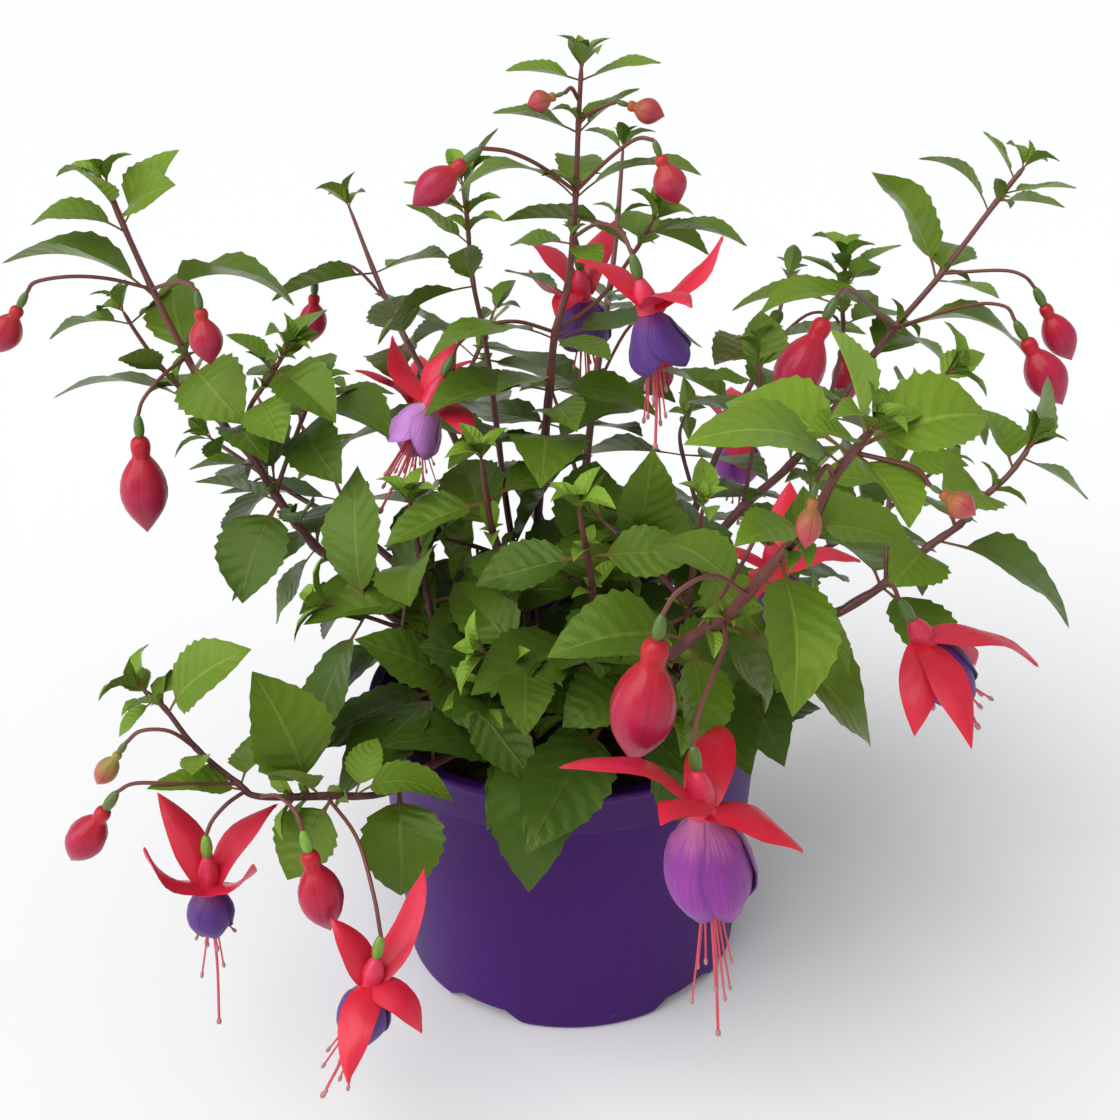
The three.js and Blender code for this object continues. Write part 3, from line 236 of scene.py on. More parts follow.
# Woody shoots: the stem each one belongs to, its radii at root and tip, its path, and its leaves. A leaf
# is [place on the path by point number, tip x, y, z, width, roll, arch]. In place of the leaves there
# may be the spacing of leaf pairs that follow the rule of growth.
SHOOTS = [
  ["stem_middle", [1.9, 0.7], [[-4, 8, 80], [-6, 7, 105], [-9, 5, 126], [-10, 2, 147], [-9, 0, 167],
   [-6, 0, 196], [-4, 0, 215], [-2, 0, 232], [2, 0, 246], [4, 0, 262], [5, 0, 276], [6, 0, 296],
   [7, 0, 312]],
   [[11.9, -15, -5, 313, 7], [11.9, 30, -5, 315, 8], [11, -17, -8, 306, 7], [11, 24, 5, 306, 9],
    [10, -30, -18, 281, 13, 0, 0.2], [10, 42, -15, 285, 13, 0, 0.14], [9, -16, 5, 260, 12],
    [9, 12, -15, 258, 10], [8, -17, -12, 256, 11], [7, 48, 20, 222, 16], [7, -42, -22, 231, 17, 0, 0.15],
    [7, 15, -22, 231, 12], [6, 31, -12, 209, 15], [6, -43, -26, 215, 17], [6.2, -20, -22, 222, 13],
    [5, -35, -34, 209, 18], [5.6, 4, -36, 213, 14], [5, -7, -46, 199, 24, 0, 0.2], [5, 28, 22, 199, 18],
    [10, 8, 34, 281, 13]]],
  ["stem_middle", [0.8, 0.6], [[-2, 0, 232], [12, 8, 240], [23, 10, 254], [29, 10, 264]],
   [[2.2, 3, 0, 271, 9, 0, 0.18], [2.8, 58, 0, 259, 13], [2.4, 26, 36, 262, 12]]],
  ["stem_slender", [1.4, 0.6], [[-16, 22, 80], [-14, 19, 120], [-18, 16, 150], [-20, 15, 168],
   [-22, 20, 188], [-24, 25, 208], [-26, 28, 224], [-29, 30, 241], [-30, 30, 262], [-31, 30, 272]],
   [[7.7, -49, 25, 268, 10], [8, -20, 35, 290, 9], [8.4, -51, 42, 272, 9], [7, -61, 14, 225, 15],
    [7, -31, 12, 258, 9], [6, -22, 2, 236, 18], [6, -52, 52, 214, 19], [4, -52, 28, 192, 20],
    [5, -42, 50, 196, 20]]],
  ["stem_left", [2.1, 0.8], [[-26, -2, 80], [-32, -6, 108], [-42, -9, 124], [-56, -12, 136],
   [-68, -12, 148], [-76, -10, 158], [-83, -8, 163], [-95, -3, 179], [-101, 0, 190], [-111, 5, 201],
   [-122, 12, 222], [-131, 15, 244], [-139, 18, 267], [-142, 20, 277]],
   [[11.9, -168, 18, 265, 13, -25, 0.16], [12, -119, 22, 287, 15, 45, 0.14], [12.1, -118, 6, 280, 17, 40],
    [12.3, -148, 10, 285, 16, -45], [11, -177, 12, 255, 13, 0, 0.16], [11, -82, 2, 244, 19, -12, 0.16],
    [10, -101, -12, 208, 22], [10, -131, 42, 243, 18], [8, -122, -5, 191, 11], [7, -118, -14, 190, 17],
    [7, -105, -28, 152, 23, -20], [6.5, -82, -22, 183, 12], [9, -116, 10, 186, 12], [5, -65, -38, 151, 20],
    [6, -98, -16, 138, 15], [4, -88, -22, 146, 15], [4, -46, -30, 157, 16], [9, -92, -25, 201, 14],
    [8, -112, 30, 172, 20], [6, -78, 32, 162, 22]]],
  ["stem_left", [0.9, 0.6], [[-111, 5, 201], [-122, 14, 206], [-132, 18, 216], [-140, 22, 227],
   [-144, 24, 234]],
   [[3.6, -172, 28, 225, 9], [1, -168, 10, 213, 16, 0, 0.12], [2, -140, -2, 228, 12],
    [3.6, -128, 40, 240, 8], [1.5, -128, 44, 206, 18]]],
  ["stem_left", [0.9, 0.6], [[-105, 1, 195], [-100, -4, 210], [-92, -6, 221], [-86, -8, 230]],
   [[2.6, -104, -6, 236, 9], [2.8, -74, 4, 240, 16], [2.4, -69, -28, 214, 17], [2, -98, 20, 218, 12],
    [1.5, -86, -27, 207, 15]]],
  ["stem_left", [0.9, 0.6], [[-95, -3, 179], [-92, -2, 187], [-85, 5, 203], [-80, 6, 212]],
   [[2.8, -55, 12, 209, 11], [2.4, -54, -20, 202, 22, -10], [2, -70, -24, 192, 18], [2, -86, 36, 200, 18],
    [3, -78, 28, 218, 12]]],
  ["stem_right_tall", [1.9, 0.8], [[22, 6, 80], [28, 4, 110], [36, 2, 132], [46, 2, 151], [61, 10, 166],
   [78, 20, 177], [94, 32, 192], [108, 42, 208], [116, 46, 217], [133, 56, 233], [152, 66, 255],
   [162, 71, 266]],
   [[10, 127, 80, 269, 9, 0, 0.15], [10.2, 173, 55, 256, 13], [10.4, 182, 72, 259, 11],
    [10.8, 150, 82, 277, 9], [9, 108, 62, 269, 20, 20], [9, 149, 38, 230, 15],
    [8, 65, 30, 231, 16, 0, 0.16], [8, 168, 40, 204, 14, 0, 0.2], [8, 128, 22, 214, 15],
    [7, 132, 76, 204, 19], [9, 148, 92, 234, 17], [6, 84, 68, 186, 21], [6, 112, 4, 184, 20],
    [5, 98, -4, 170, 20], [4, 76, -20, 152, 20]]],
  ["stem_right_tall", [0.9, 0.6], [[90, 29, 188], [98, 46, 210], [99, 56, 224], [100, 60, 236]],
   [[2.7, 84, 58, 240, 8, 0, 0.15], [2.8, 119, 60, 243, 11], [2, 59, 55, 224, 15], [1.6, 124, 66, 218, 14],
    [2.2, 88, 84, 226, 13], [2.6, 108, 40, 242, 9]]],
  ["stem_right_tall", [0.9, 0.6], [[61, 10, 166], [64, 14, 186], [66, 20, 204], [66, 24, 214]],
   [[2.6, 67, 27, 230, 16, 60], [2.4, 46, 14, 211, 9], [2, 92, 6, 206, 18], [1.6, 42, 34, 196, 17],
    [2, 74, 48, 202, 16]]],
  ["stem_right_front", [2.4, 1], [[8, -20, 80], [10, -32, 106], [14, -46, 122], [20, -62, 139],
   [28, -84, 161], [34, -98, 176], [41, -110, 188], [49, -125, 209], [58, -136, 229], [61, -141, 241],
   [67, -148, 255]],
   [[9.4, 25, -155, 257, 19, 8, 0.14], [9.6, 38, -116, 252, 18], [10, 61, -130, 273, 18, 55],
    [9.8, 96, -140, 256, 19, 0, 0.12], [9.7, 74, -165, 240, 17, -30], [9.9, 52, -154, 258, 11],
    [8, 38, -148, 228, 12], [7.4, 52, -162, 190, 18, -14, 0.12], [8, 80, -144, 226, 17],
    [7, 72, -128, 181, 19, -20], [6, 83, -114, 150, 18], [5.6, 56, -106, 156, 16],
    [5, 36, -118, 152, 19, -16], [5, -6, -110, 178, 21, 0, 0.12], [7.6, 88, -112, 214, 20],
    [4, 50, -66, 150, 22], [3.4, -2, -84, 140, 20], [6.6, 24, -86, 200, 18], [3, 42, -40, 132, 20]]],
  ["stem_right_side", [1.7, 0.8], [[28, -12, 80], [33, -16, 108], [48, -28, 130], [66, -42, 148],
   [83, -52, 158], [97, -52, 168], [110, -48, 178], [119, -46, 184], [125, -44, 191], [133, -42, 198],
   [139, -40, 206]],
   [[6.4, 154, -60, 157, 24, -14], [6, 93, -75, 179, 19], [8.4, 109, -62, 200, 20],
    [9.8, 146, -33, 226, 19, 30], [9.8, 156, -50, 194, 13], [9.4, 128, -26, 214, 17], [7, 118, -8, 174, 22],
    [5, 112, -80, 150, 20], [5, 86, -14, 166, 22], [4, 62, -72, 142, 22], [3, 44, -64, 134, 20]]],
  ["stem_right_side", [0.9, 0.6], [[97, -52, 168], [101, -30, 188], [110, -8, 210], [121, -6, 218]],
   [[2.8, 134, -2, 224, 11], [2.8, 132, -25, 202, 16], [2.2, 112, 16, 210, 13], [2, 98, -22, 216, 13],
    [1.4, 126, -26, 196, 16], [1.2, 78, -20, 190, 17]]],
  ["stem_left_trailing", [1.5, 0.7], [[-16, -24, 80], [-22, -36, 101], [-32, -49, 109], [-44, -62, 111],
   [-57, -76, 111], [-73, -84, 116], [-92, -88, 119], [-98, -87, 123], [-110, -83, 133], [-119, -78, 144],
   [-125, -76, 149]],
   [[9.6, -133, -82, 137, 7, 0, 0.2], [9, -91, -84, 168, 19, 30], [9.6, -108, -64, 151, 10],
    [8, -108, -98, 134, 9], [6.6, -122, -96, 130, 11], [5.4, -90, -82, 159, 24, 40],
    [5.2, -86, -101, 138, 13], [5, -85, -97, 95, 19, -20], [4.6, -34, -86, 116, 14, 0, 0.2],
    [3.8, -52, -92, 84, 23, -16, 0.2], [4.6, -59, -66, 125, 11], [7, -92, -62, 128, 15],
    [9.8, -134, -62, 149, 9], [3, -44, -40, 122, 16]]],
  ["stem_rim_front", [1.4, 0.8], [[-4, -44, 80], [-8, -50, 102], [-12, -54, 115], [-15, -54, 128],
   [-16, -53, 142]],
   [[2, -13, -93, 84, 25, 4, 0.34], [2.4, -36, -86, 140, 23, 0, 0.16], [1.6, -58, -66, 122, 18],
    [3.4, -44, -66, 158, 26, -20, 0.12], [1.8, 14, -74, 118, 15], [1, 10, -62, 112, 13],
    [3.4, 16, -66, 150, 20], [4, -18, -86, 156, 20], [3.8, -34, -28, 152, 20]]],
  ["stem_back_left", [1.9, 0.7], [[-14, 36, 80], [-24, 50, 130], [-44, 74, 176], [-66, 100, 214],
   [-80, 118, 246]], 38],
  ["stem_back_left", [0.9, 0.6], [[-44, 74, 176], [-32, 96, 194], [-26, 116, 204]], 38],
  ["stem_back_middle", [1.9, 0.7], [[6, 34, 80], [6, 48, 136], [12, 66, 188], [20, 88, 232],
   [24, 104, 268]], 38],
  ["stem_back_middle", [0.9, 0.6], [[6, 54, 156], [0, 78, 172], [-4, 104, 176]], 38],
  ["stem_back_right", [1.8, 0.7], [[26, 28, 80], [40, 44, 124], [60, 72, 164], [80, 100, 192],
   [90, 122, 214]], 38],
  ["stem_back_right", [0.9, 0.6], [[50, 58, 145], [46, 90, 158], [50, 118, 158]], 38],
  ["stem_far_left", [1.7, 0.7], [[-30, 18, 80], [-44, 26, 116], [-72, 40, 142], [-102, 54, 156],
   [-130, 62, 174]], 38],
  ["stem_far_left", [0.9, 0.6], [[-72, 40, 142], [-84, 66, 148], [-92, 92, 150]], 38],
  ["stem_far_right", [1.7, 0.7], [[34, 10, 80], [50, 14, 112], [80, 24, 134], [110, 34, 148],
   [136, 40, 168]], 38],
  ["stem_far_right", [0.9, 0.6], [[80, 24, 134], [92, 52, 140], [96, 80, 146]], 38],
  ["stem_inner_left", [1.4, 0.8], [[-36, -22, 80], [-40, -30, 122], [-44, -34, 156], [-48, -32, 188]], 21],
  ["stem_inner_middle", [1.5, 0.8], [[-6, -8, 80], [-14, -20, 130], [-22, -28, 170], [-25, -36, 204]], 21],
  ["stem_inner_front", [1.5, 0.8], [[6, -38, 80], [4, -48, 120], [8, -58, 164], [4, -66, 200]], 21],
  ["stem_inner_right", [1.5, 0.8], [[30, -30, 80], [33, -40, 118], [37, -50, 160], [40, -58, 196]], 21],
  ["stem_inner_left", [0.9, 0.6], [[-42, -32, 139], [-60, -37, 150], [-74, -38, 156]], 17],
  ["stem_inner_left", [0.9, 0.6], [[-40, -30, 122], [-33, -50, 132], [-28, -66, 138]], 17],
  ["stem_inner_middle", [0.9, 0.6], [[-18, -24, 150], [-2, -30, 160], [12, -34, 166]], 17],
  ["stem_inner_middle", [0.9, 0.6], [[-14, -20, 130], [-30, -10, 141], [-44, 2, 148]], 17],
  ["stem_inner_front", [0.9, 0.6], [[6, -53, 142], [-9, -67, 151], [-23, -74, 158]], 17],
  ["stem_inner_front", [0.9, 0.6], [[4, -48, 120], [18, -63, 128], [30, -72, 136]], 17],
  ["stem_inner_right", [0.9, 0.6], [[35, -45, 139], [54, -46, 148], [70, -44, 154]], 17],
  ["stem_inner_right", [0.9, 0.6], [[37, -50, 160], [24, -40, 172], [12, -30, 180]], 17],
  ["stem_middle", [0.9, 0.6], [[-9, 5, 126], [8, 16, 138], [24, 22, 146]], 17],
  ["stem_middle", [0.9, 0.6], [[-10, 2, 147], [-26, -8, 160], [-38, -16, 168]], 17],
]

# Buds: [name, stem, pedicel from the stem to the ovary, tip of the bud, radius].
BUDS = [
  ["bud_top_left", "stem_middle", [[6, 0, 303], [4, -5, 307], [2, -7, 306]], [-9, -9, 303], 3.3],
  ["bud_top_right", "stem_middle", [[6, 0, 296], [10, -3, 300], [17, -5, 303]], [31, -7, 299], 3.8],
  ["bud_middle_left", "stem_middle",
    [[5, 0, 276], [-5, -12, 286], [-14, -20, 292], [-22, -24, 294]], [-42, -28, 279], 5.2],
  ["bud_middle_right", "stem_middle",
    [[5, 0, 276], [14, -14, 288], [22, -20, 295], [27, -22, 295]], [34, -24, 277], 5],
  ["bud_far_left", "stem_left",
    [[-131, 15, 244], [-143, 10, 249], [-154, 6, 251], [-164, 4, 250], [-167, 3, 247]],
    [-180, 1, 228], 5.2],
  ["bud_left_upper", "stem_left",
    [[-131, 15, 244], [-122, 4, 249], [-115, -6, 252], [-111, -9, 250]], [-109, -11, 227], 5.2],
  ["bud_left_large", "stem_left",
    [[-122, 12, 222], [-128, 4, 219], [-134, -2, 213], [-136, -4, 208]], [-138, -6, 168], 7.7],
  ["bud_right_inner", "stem_right_tall",
    [[116, 46, 217], [101, 20, 233], [90, 5, 243], [85, -5, 243]], [68, -12, 209], 7.8],
  ["bud_far_right", "stem_right_tall",
    [[133, 56, 233], [151, 48, 236], [158, 44, 235], [162, 43, 231]], [178, 43, 205], 5.6],
  ["bud_right_outer", "stem_right_tall",
    [[116, 46, 217], [137, 34, 228], [147, 26, 230], [150, 22, 226]], [168, 18, 198], 6.8],
  ["bud_front_large", "stem_right_front",
    [[46, -120, 200], [36, -128, 210], [27, -132, 208], [23, -133, 202]], [16, -131, 158], 8.6],
  ["bud_cluster", "stem_right_front",
    [[61, -141, 241], [58, -148, 247], [55, -152, 245]], [53, -155, 230], 3],
  ["bud_right_front", "stem_right_front",
    [[64, -145, 249], [76, -152, 248], [80, -153, 244]], [90, -156, 238], 3.2],
  ["bud_trailing_end", "stem_left_trailing",
    [[-98, -87, 123], [-112, -94, 128], [-125, -96, 130], [-131, -96, 127]], [-148, -96, 103], 5.8],
  ["bud_trailing_young", "stem_left_trailing",
    [[-110, -83, 133], [-116, -86, 141], [-124, -87, 142], [-129, -87, 138]], [-140, -86, 123], 3.4],
  ["bud_trailing_large", "stem_left_trailing",
    [[-92, -88, 119], [-84, -98, 126], [-78, -105, 125], [-76, -108, 121]], [-71, -109, 86], 6.6],
  ["bud_back_left", "stem_back_left",
    [[-66, 100, 214], [-78, 104, 226], [-90, 108, 226], [-94, 110, 220]], [-98, 112, 194], 5.6],
  ["bud_back_middle", "stem_back_middle",
    [[12, 66, 188], [24, 86, 204], [34, 104, 206], [37, 110, 200]], [39, 114, 168], 6.8],
  ["bud_back_right", "stem_back_right",
    [[80, 100, 192], [94, 98, 206], [104, 96, 206], [107, 95, 200]], [112, 94, 172], 5.8],
]

# Flowers: name, stem, pedicel down to the ovary, the end of the petal cup and its radius, the
# end of the style, and the four sepal tips with the arch of some. Some have a longer tube, another
# flare of the cup or shorter stamens of their own.
FLOWERS = [
  {
    "name": "flower_top", "stem": "stem_middle",
    "pedicel": [[4, 0, 262], [11, -20, 271], [17, -34, 272], [20, -40, 267]],
    "cup": [29, -42, 236], "radius": 7.6, "flare": 1.16, "style": [27, -44, 211],
    "sepals": [[4, -30, 263], [46, -36, 271, -0.1], [35, -66, 259], [31, -10, 240]],
  },
  {
    "name": "flower_behind", "stem": "stem_middle",
    "pedicel": [[3, 0, 254], [4, 12, 260], [5, 20, 257], [6, 22, 253]],
    "cup": [8, 24, 219], "radius": 8.4, "style": [9, 24, 200],
    "sepals": [[-11, 36, 252], [19, 42, 257], [-10, 12, 249, -0.1], [-2, 4, 236]],
  },
  {
    "name": "flower_lilac", "stem": "stem_middle",
    "pedicel": [[-2, 0, 232], [-14, -4, 237], [-25, -6, 236], [-32, -6, 231], [-34, -6, 227]],
    "cup": [-49, -14, 200], "radius": 7.6, "flare": 1.16, "style": [-58, -22, 182],
    "sepals": [[-53, -3, 233, -0.2], [-34, 7, 229], [-29, 10, 211], [-27, -28, 206]],
  },
  {
    "name": "flower_front", "stem": "stem_right_front",
    "pedicel": [[41, -110, 188], [40, -121, 186], [36, -130, 182], [32, -136, 174], [31, -138, 167]],
    "cup": [38, -140, 116], "radius": 11, "tube": 13, "flare": 0.7, "style": [40, -139, 73],
    "sepals": [[-3, -154, 172], [42, -108, 154], [60, -142, 136, 0.12], [21, -163, 161]],
  },
  {
    "name": "flower_trailing", "stem": "stem_left_trailing",
    "pedicel": [[-96, -88, 121], [-100, -94, 121], [-104, -98, 118], [-106, -100, 114]],
    "cup": [-108, -101, 79.8], "radius": 6.3, "tube": 12, "flare": 0.7, "style": [-110, -101, 45],
    "stamens": 0.28,
    "sepals": [[-124, -82, 117], [-88, -82, 112], [-121, -110, 118, -0.14], [-89, -116, 116, -0.1]],
  },
  {
    "name": "flower_low", "stem": "stem_left_trailing",
    "pedicel": [[-73, -84, 116], [-62, -102, 114], [-56, -118, 106], [-54, -124, 96]],
    "cup": [-62, -127, 63], "radius": 7, "style": [-74, -129, 42],
    "sepals": [[-42, -110, 109, -0.1], [-69, -118, 98], [-43, -136, 71, 0.24], [-63, -148, 64.5, 0.2]],
  },
  {
    "name": "flower_right", "stem": "stem_right_side",
    "pedicel": [[83, -52, 158], [82, -72, 172], [83, -92, 186], [86, -102, 193], [88, -105, 190]],
    "cup": [107, -104, 160], "radius": 7, "tube": 9, "style": [113, -104, 150],
    "sepals": [[128, -104, 168, 0.15], [104, -130, 159, 0.12], [91, -122, 158, 0.16], [117, -84, 157]],
  },
  {
    "name": "flower_inner", "stem": "stem_right_front",
    "pedicel": [[34, -98, 176], [46, -92, 192], [54, -84, 204], [55, -80, 202]],
    "cup": [64, -78, 168], "radius": 6.6, "style": [68, -76, 154],
    "sepals": [[32, -88, 196], [63, -70, 210, -0.1], [84, -74, 186], [50, -106, 192]],
  },
  {
    "name": "flower_back", "stem": "stem_back_left",
    "pedicel": [[-44, 74, 176], [-52, 96, 184], [-56, 116, 182], [-58, 124, 176]],
    "cup": [-60, 130, 140], "radius": 8.6, "style": [-60, 131, 118],
    "sepals": [[-84, 124, 178], [-36, 134, 178], [-60, 160, 172], [-64, 104, 152]],
  },
  {
    "name": "flower_back_right", "stem": "stem_back_right",
    "pedicel": [[60, 72, 164], [68, 96, 170], [72, 120, 166], [73, 128, 160]],
    "cup": [75, 134, 124], "radius": 9, "style": [76, 136, 102],
    "sepals": [[48, 130, 164], [98, 136, 160], [74, 163, 154], [72, 108, 138]],
  },
]

# Where the light reaches a shoot's leaves more or less than its height tells.
SUNLIT = {
  "stem_left_trailing": 0.2, "stem_left": -0.3, "stem_far_left": -0.25, "stem_rim_front": -0.32,
  "stem_inner_front": -0.18, "stem_right_side": -0.1, "stem_right_front": -0.05, "stem_right_tall": 0.04,
}

# The flowers and buds whose ovary is still a fresh green, and the buds that have hardly coloured yet.
FRESH_OVARIES = ("bud_trailing_large", "flower_low", "flower_trailing")
GREEN_BUDS = ("bud_trailing_young",)

# Ways to bend a leaf clear: moves of its tip sideways and up as shares of its length, then its size.
BENDS = [
  [0, 0, 1], [0, 0.14, 1], [0, -0.14, 1], [0.16, 0, 1], [-0.16, 0, 1], [0.14, 0.18, 1],
  [-0.14, 0.18, 1], [0.14, -0.18, 1], [-0.14, -0.18, 1], [0, 0.32, 1], [0, -0.32, 1],
  [0.34, 0.1, 1], [-0.34, 0.1, 1], [0.3, -0.25, 0.8], [-0.3, -0.25, 0.8], [0, 0.5, 0.8],
  [0.5, 0.2, 0.7], [-0.5, 0.2, 0.7], [0, 0, 0.6], [0.3, 0.3, 0.6], [-0.3, 0.3, 0.6],
]


def drawer(seed):
    """A repeatable stream of numbers from 0 to 1."""
    state = seed

    def draw():
        nonlocal state
        state = state * 16807 % 2147483647
        return state / 2147483647

    return draw


def mixed(a, b, share):
    return a + (b - a) * share


def held(value):
    """A value kept between 0 and 1."""
    return max(0.0, min(1.0, value))


# Lines and frames


def spine(rows, runs):
    """The rounded middle line of a path, with the given number of runs between its points."""
    points = [Vector(row) for row in rows]
    ends = [2 * points[0] - points[1], *points, 2 * points[-1] - points[-2]]
    line = []
    for a, b, c, d in zip(ends, ends[1:], ends[2:], ends[3:]):
        leave = (c - a) / 2
        arrive = (d - b) / 2
        for step in range(runs):
            t = step / runs
            square = 3 * (c - b) - 2 * leave - arrive
            cube = 2 * (b - c) + leave + arrive
            line.append(b + leave * t + square * t**2 + cube * t**3)
    return [*line, points[-1]]


def along(line, share):
    """The place and the way ahead at a share of a line, counted evenly by its points."""
    last = len(line) - 1
    start = min(int(share * last), last - 1)
    ahead = line[start + 1] - line[start]
    return line[start] + ahead * (share * last - start), ahead.normalized()


def off_axis(way, axis):
    """The direction of the part of a way that is square to an axis."""
    return (way - axis * axis.dot(way)).normalized()


def square_to(axis):
    """Two directions square to an axis, so that across, over and axis turn as X, Y and Z do."""
    across = off_axis(Vector((1, 0, 0)) if abs(axis.x) < 0.9 else Vector((0, 1, 0)), axis)
    return across, axis.cross(across)


def round_about(across, over, turn):
    """The direction at an angle between two directions that are square to each other."""
    return across * math.cos(turn) + over * math.sin(turn)


def hanging(pedicel, end):
    """Where a stalk ends, the way that what hangs on it points, and how far it reaches."""
    start = Vector(pedicel[-1])
    chord = Vector(end) - start
    return start, chord.normalized(), chord.length


def leaf_facing(place):
    """The way a leaf's upper face looks: up, and outward the further out it grows."""
    share = LEAF_LEAN / max(LEAN_REACH, math.hypot(place.x, place.y))
    return Vector((place.x * share, place.y * share, 1)).normalized()


class Blade:
    """The course of a blade that arches from its base to its tip."""

    def __init__(self, base, tip, roll, arch, facing=UP):
        chord = tip - base
        self.base, self.arch = base, arch
        self.length = chord.length
        self.ahead = chord.normalized()
        normal = facing - self.ahead * self.ahead.dot(facing)
        if normal.length < 0.2:
            normal = Vector((0, -1, 0)) + self.ahead * self.ahead.y
        self.normal = Matrix.Rotation(math.radians(roll), 3, self.ahead) @ normal.normalized()
        self.side = self.ahead.cross(self.normal)

    def places(self, share, offset, lift):
        """Points at shares of the length, moved sideways and off the face, as rows of x, y, z."""
        ahead, normal, side, base = map(np.array, (self.ahead, self.normal, self.side, self.base))
        middle = base + np.outer(self.length * share, ahead)
        middle += np.outer(4 * self.arch * self.length * share * (1 - share), normal)
        face = normal - np.outer(4 * self.arch * (1 - 2 * share), ahead)
        face /= np.linalg.norm(face, axis=1)[:, None]
        return middle + np.outer(offset, side) + face * np.asarray(lift)[:, None]


# Modelling helpers


def only(*pieces):
    """Selects these objects alone and makes the first one active."""
    bpy.ops.object.select_all(action="DESELECT")
    for piece in pieces:
        piece.select_set(True)
    if pieces:
        bpy.context.view_layer.objects.active = pieces[0]


def new(add, name, **settings):
    """Adds an object by its operator, selected alone, and names it."""
    only()
    add(**settings)
    piece = bpy.context.object
    piece.name = name
    return piece


def edit(piece):
    """Opens a piece in edit mode with all of it selected."""
    only(piece)
    bpy.ops.object.mode_set(mode="EDIT")
    bpy.ops.mesh.select_mode(type="VERT")
    bpy.ops.mesh.select_all(action="SELECT")


def done(outward=False):
    """Leaves edit mode, once all faces point outwards where that is asked."""
    if outward:
        bpy.ops.mesh.select_all(action="SELECT")
        bpy.ops.mesh.normals_make_consistent(inside=False)
    bpy.ops.object.mode_set(mode="OBJECT")


def pick(test):
    """Selects the corners of the edited mesh whose place passes the test."""
    bpy.ops.mesh.select_all(action="DESELECT")
    mesh = bpy.context.edit_object.data
    form = bmesh.from_edit_mesh(mesh)
    for corner in form.verts:
        corner.select = bool(test(corner.co))
    form.select_flush_mode()
    bmesh.update_edit_mesh(mesh)


def scale_by(x, y, z):
    bpy.ops.transform.resize(value=(x, y, z), center_override=(0, 0, 0))


def move_by(x, y, z):
    bpy.ops.transform.translate(value=(x, y, z))


def turned(name, rows, sides):
    """A closed form turned about Z, from rows of (radius, height), with a map of its skin."""
    radius, height = rows[0]
    piece = new(
        bpy.ops.mesh.primitive_circle_add, name,
        vertices=sides, radius=radius, fill_type="NGON", location=(0, 0, height),
    )
    bpy.ops.object.transform_apply()
    edit(piece)
    for (before, low), (after, high) in zip(rows, rows[1:]):
        bpy.ops.mesh.extrude_edges_move(TRANSFORM_OT_translate={"value": (0, 0, high - low)})
        scale_by(after / before, after / before, 1)
    bpy.ops.mesh.edge_face_add()
    done(outward=True)
    map_round(piece.data, [height for _, height in rows])
    return piece


def map_round(mesh, heights):
    """Lays a map on a turned skin: the share of the turn across, and of the height up."""
    low, span = min(heights), max(heights) - min(heights)
    layer = mesh.uv_layers[0]
    for face in mesh.polygons:
        first = None
        for loop in face.loop_indices:
            place = mesh.vertices[mesh.loops[loop].vertex_index].co
            turn = math.atan2(place.y, place.x) / math.tau
            first = turn if first is None else first
            layer.data[loop].uv = (turn + round(first - turn), (place.z - low) / span)


def sheet(name, rows, columns, lift, underside):
    """One skin of a flat blade, from rows of (share of length, half width), raised in its middle."""
    add = bpy.ops.mesh.primitive_grid_add
    piece = new(add, name, x_subdivisions=len(rows) - 1, y_subdivisions=columns, size=1)
    stations = sorted({round(corner.co.x, 4) for corner in piece.data.vertices})
    edit(piece)
    for station, (share, half) in zip(stations, rows):
        pick(lambda place: abs(place.x - station) < 0.001 and place.z < 0.5)
        scale_by(1, 2 * half, 1)
        move_by(share - station, 0, 1)
    bpy.ops.mesh.select_all(action="SELECT")
    scale_by(1, 1, 0)
    if underside:
        bpy.ops.mesh.flip_normals()
    for share, half in rows[:-1]:
        pick(lambda place: abs(place.x - share) < 0.001 and abs(place.y) < half - 0.002)
        move_by(0, 0, lift)
    done()
    mesh = piece.data
    for loop in mesh.loops:
        mesh.uv_layers[0].data[loop.index].uv.x = mesh.vertices[loop.vertex_index].co.x
    mark = mesh.attributes.new("underside", "FLOAT", "CORNER")
    mark.data.foreach_set("value", [float(underside)] * len(mesh.loops))
    return piece


def blade_form(name, rows, columns, top, bottom, foot=False):
    """A flat closed blade: an upper and a lower skin that meet along the edge and at both ends."""
    skins = [sheet(name, rows, columns, top, False), sheet(name, rows, columns, bottom, True)]
    whole = join(skins, name)
    edit(whole)
    bpy.ops.mesh.remove_doubles(threshold=0.0004)
    if foot:
        pick(lambda place: place.x < 0.001)
        bpy.ops.mesh.edge_face_add()
    done(outward=foot)
    return whole


def copy_of(form, name="copy"):
    """A copy of a form with a mesh of its own."""
    copy = form.copy()
    copy.data = form.data.copy()
    copy.name = name
    bpy.context.collection.objects.link(copy)
    return copy


def set_look(piece, tint, youth):
    """Marks a whole piece with its own tint, which on leaves is painted light and shade, and how young it
    is, both from 0 to 1.
    """
    layer = piece.data.color_attributes.new("look", "FLOAT_COLOR", "POINT")
    layer.data.foreach_set("color", [tint, youth, 0.0, 1.0] * len(piece.data.vertices))


def dress(piece, material, *look):
    """Gives a piece its one finish and, where they are given, its own tint and youth."""
    piece.data.materials.clear()
    piece.data.materials.append(material)
    if look:
        set_look(piece, *look)
    return piece


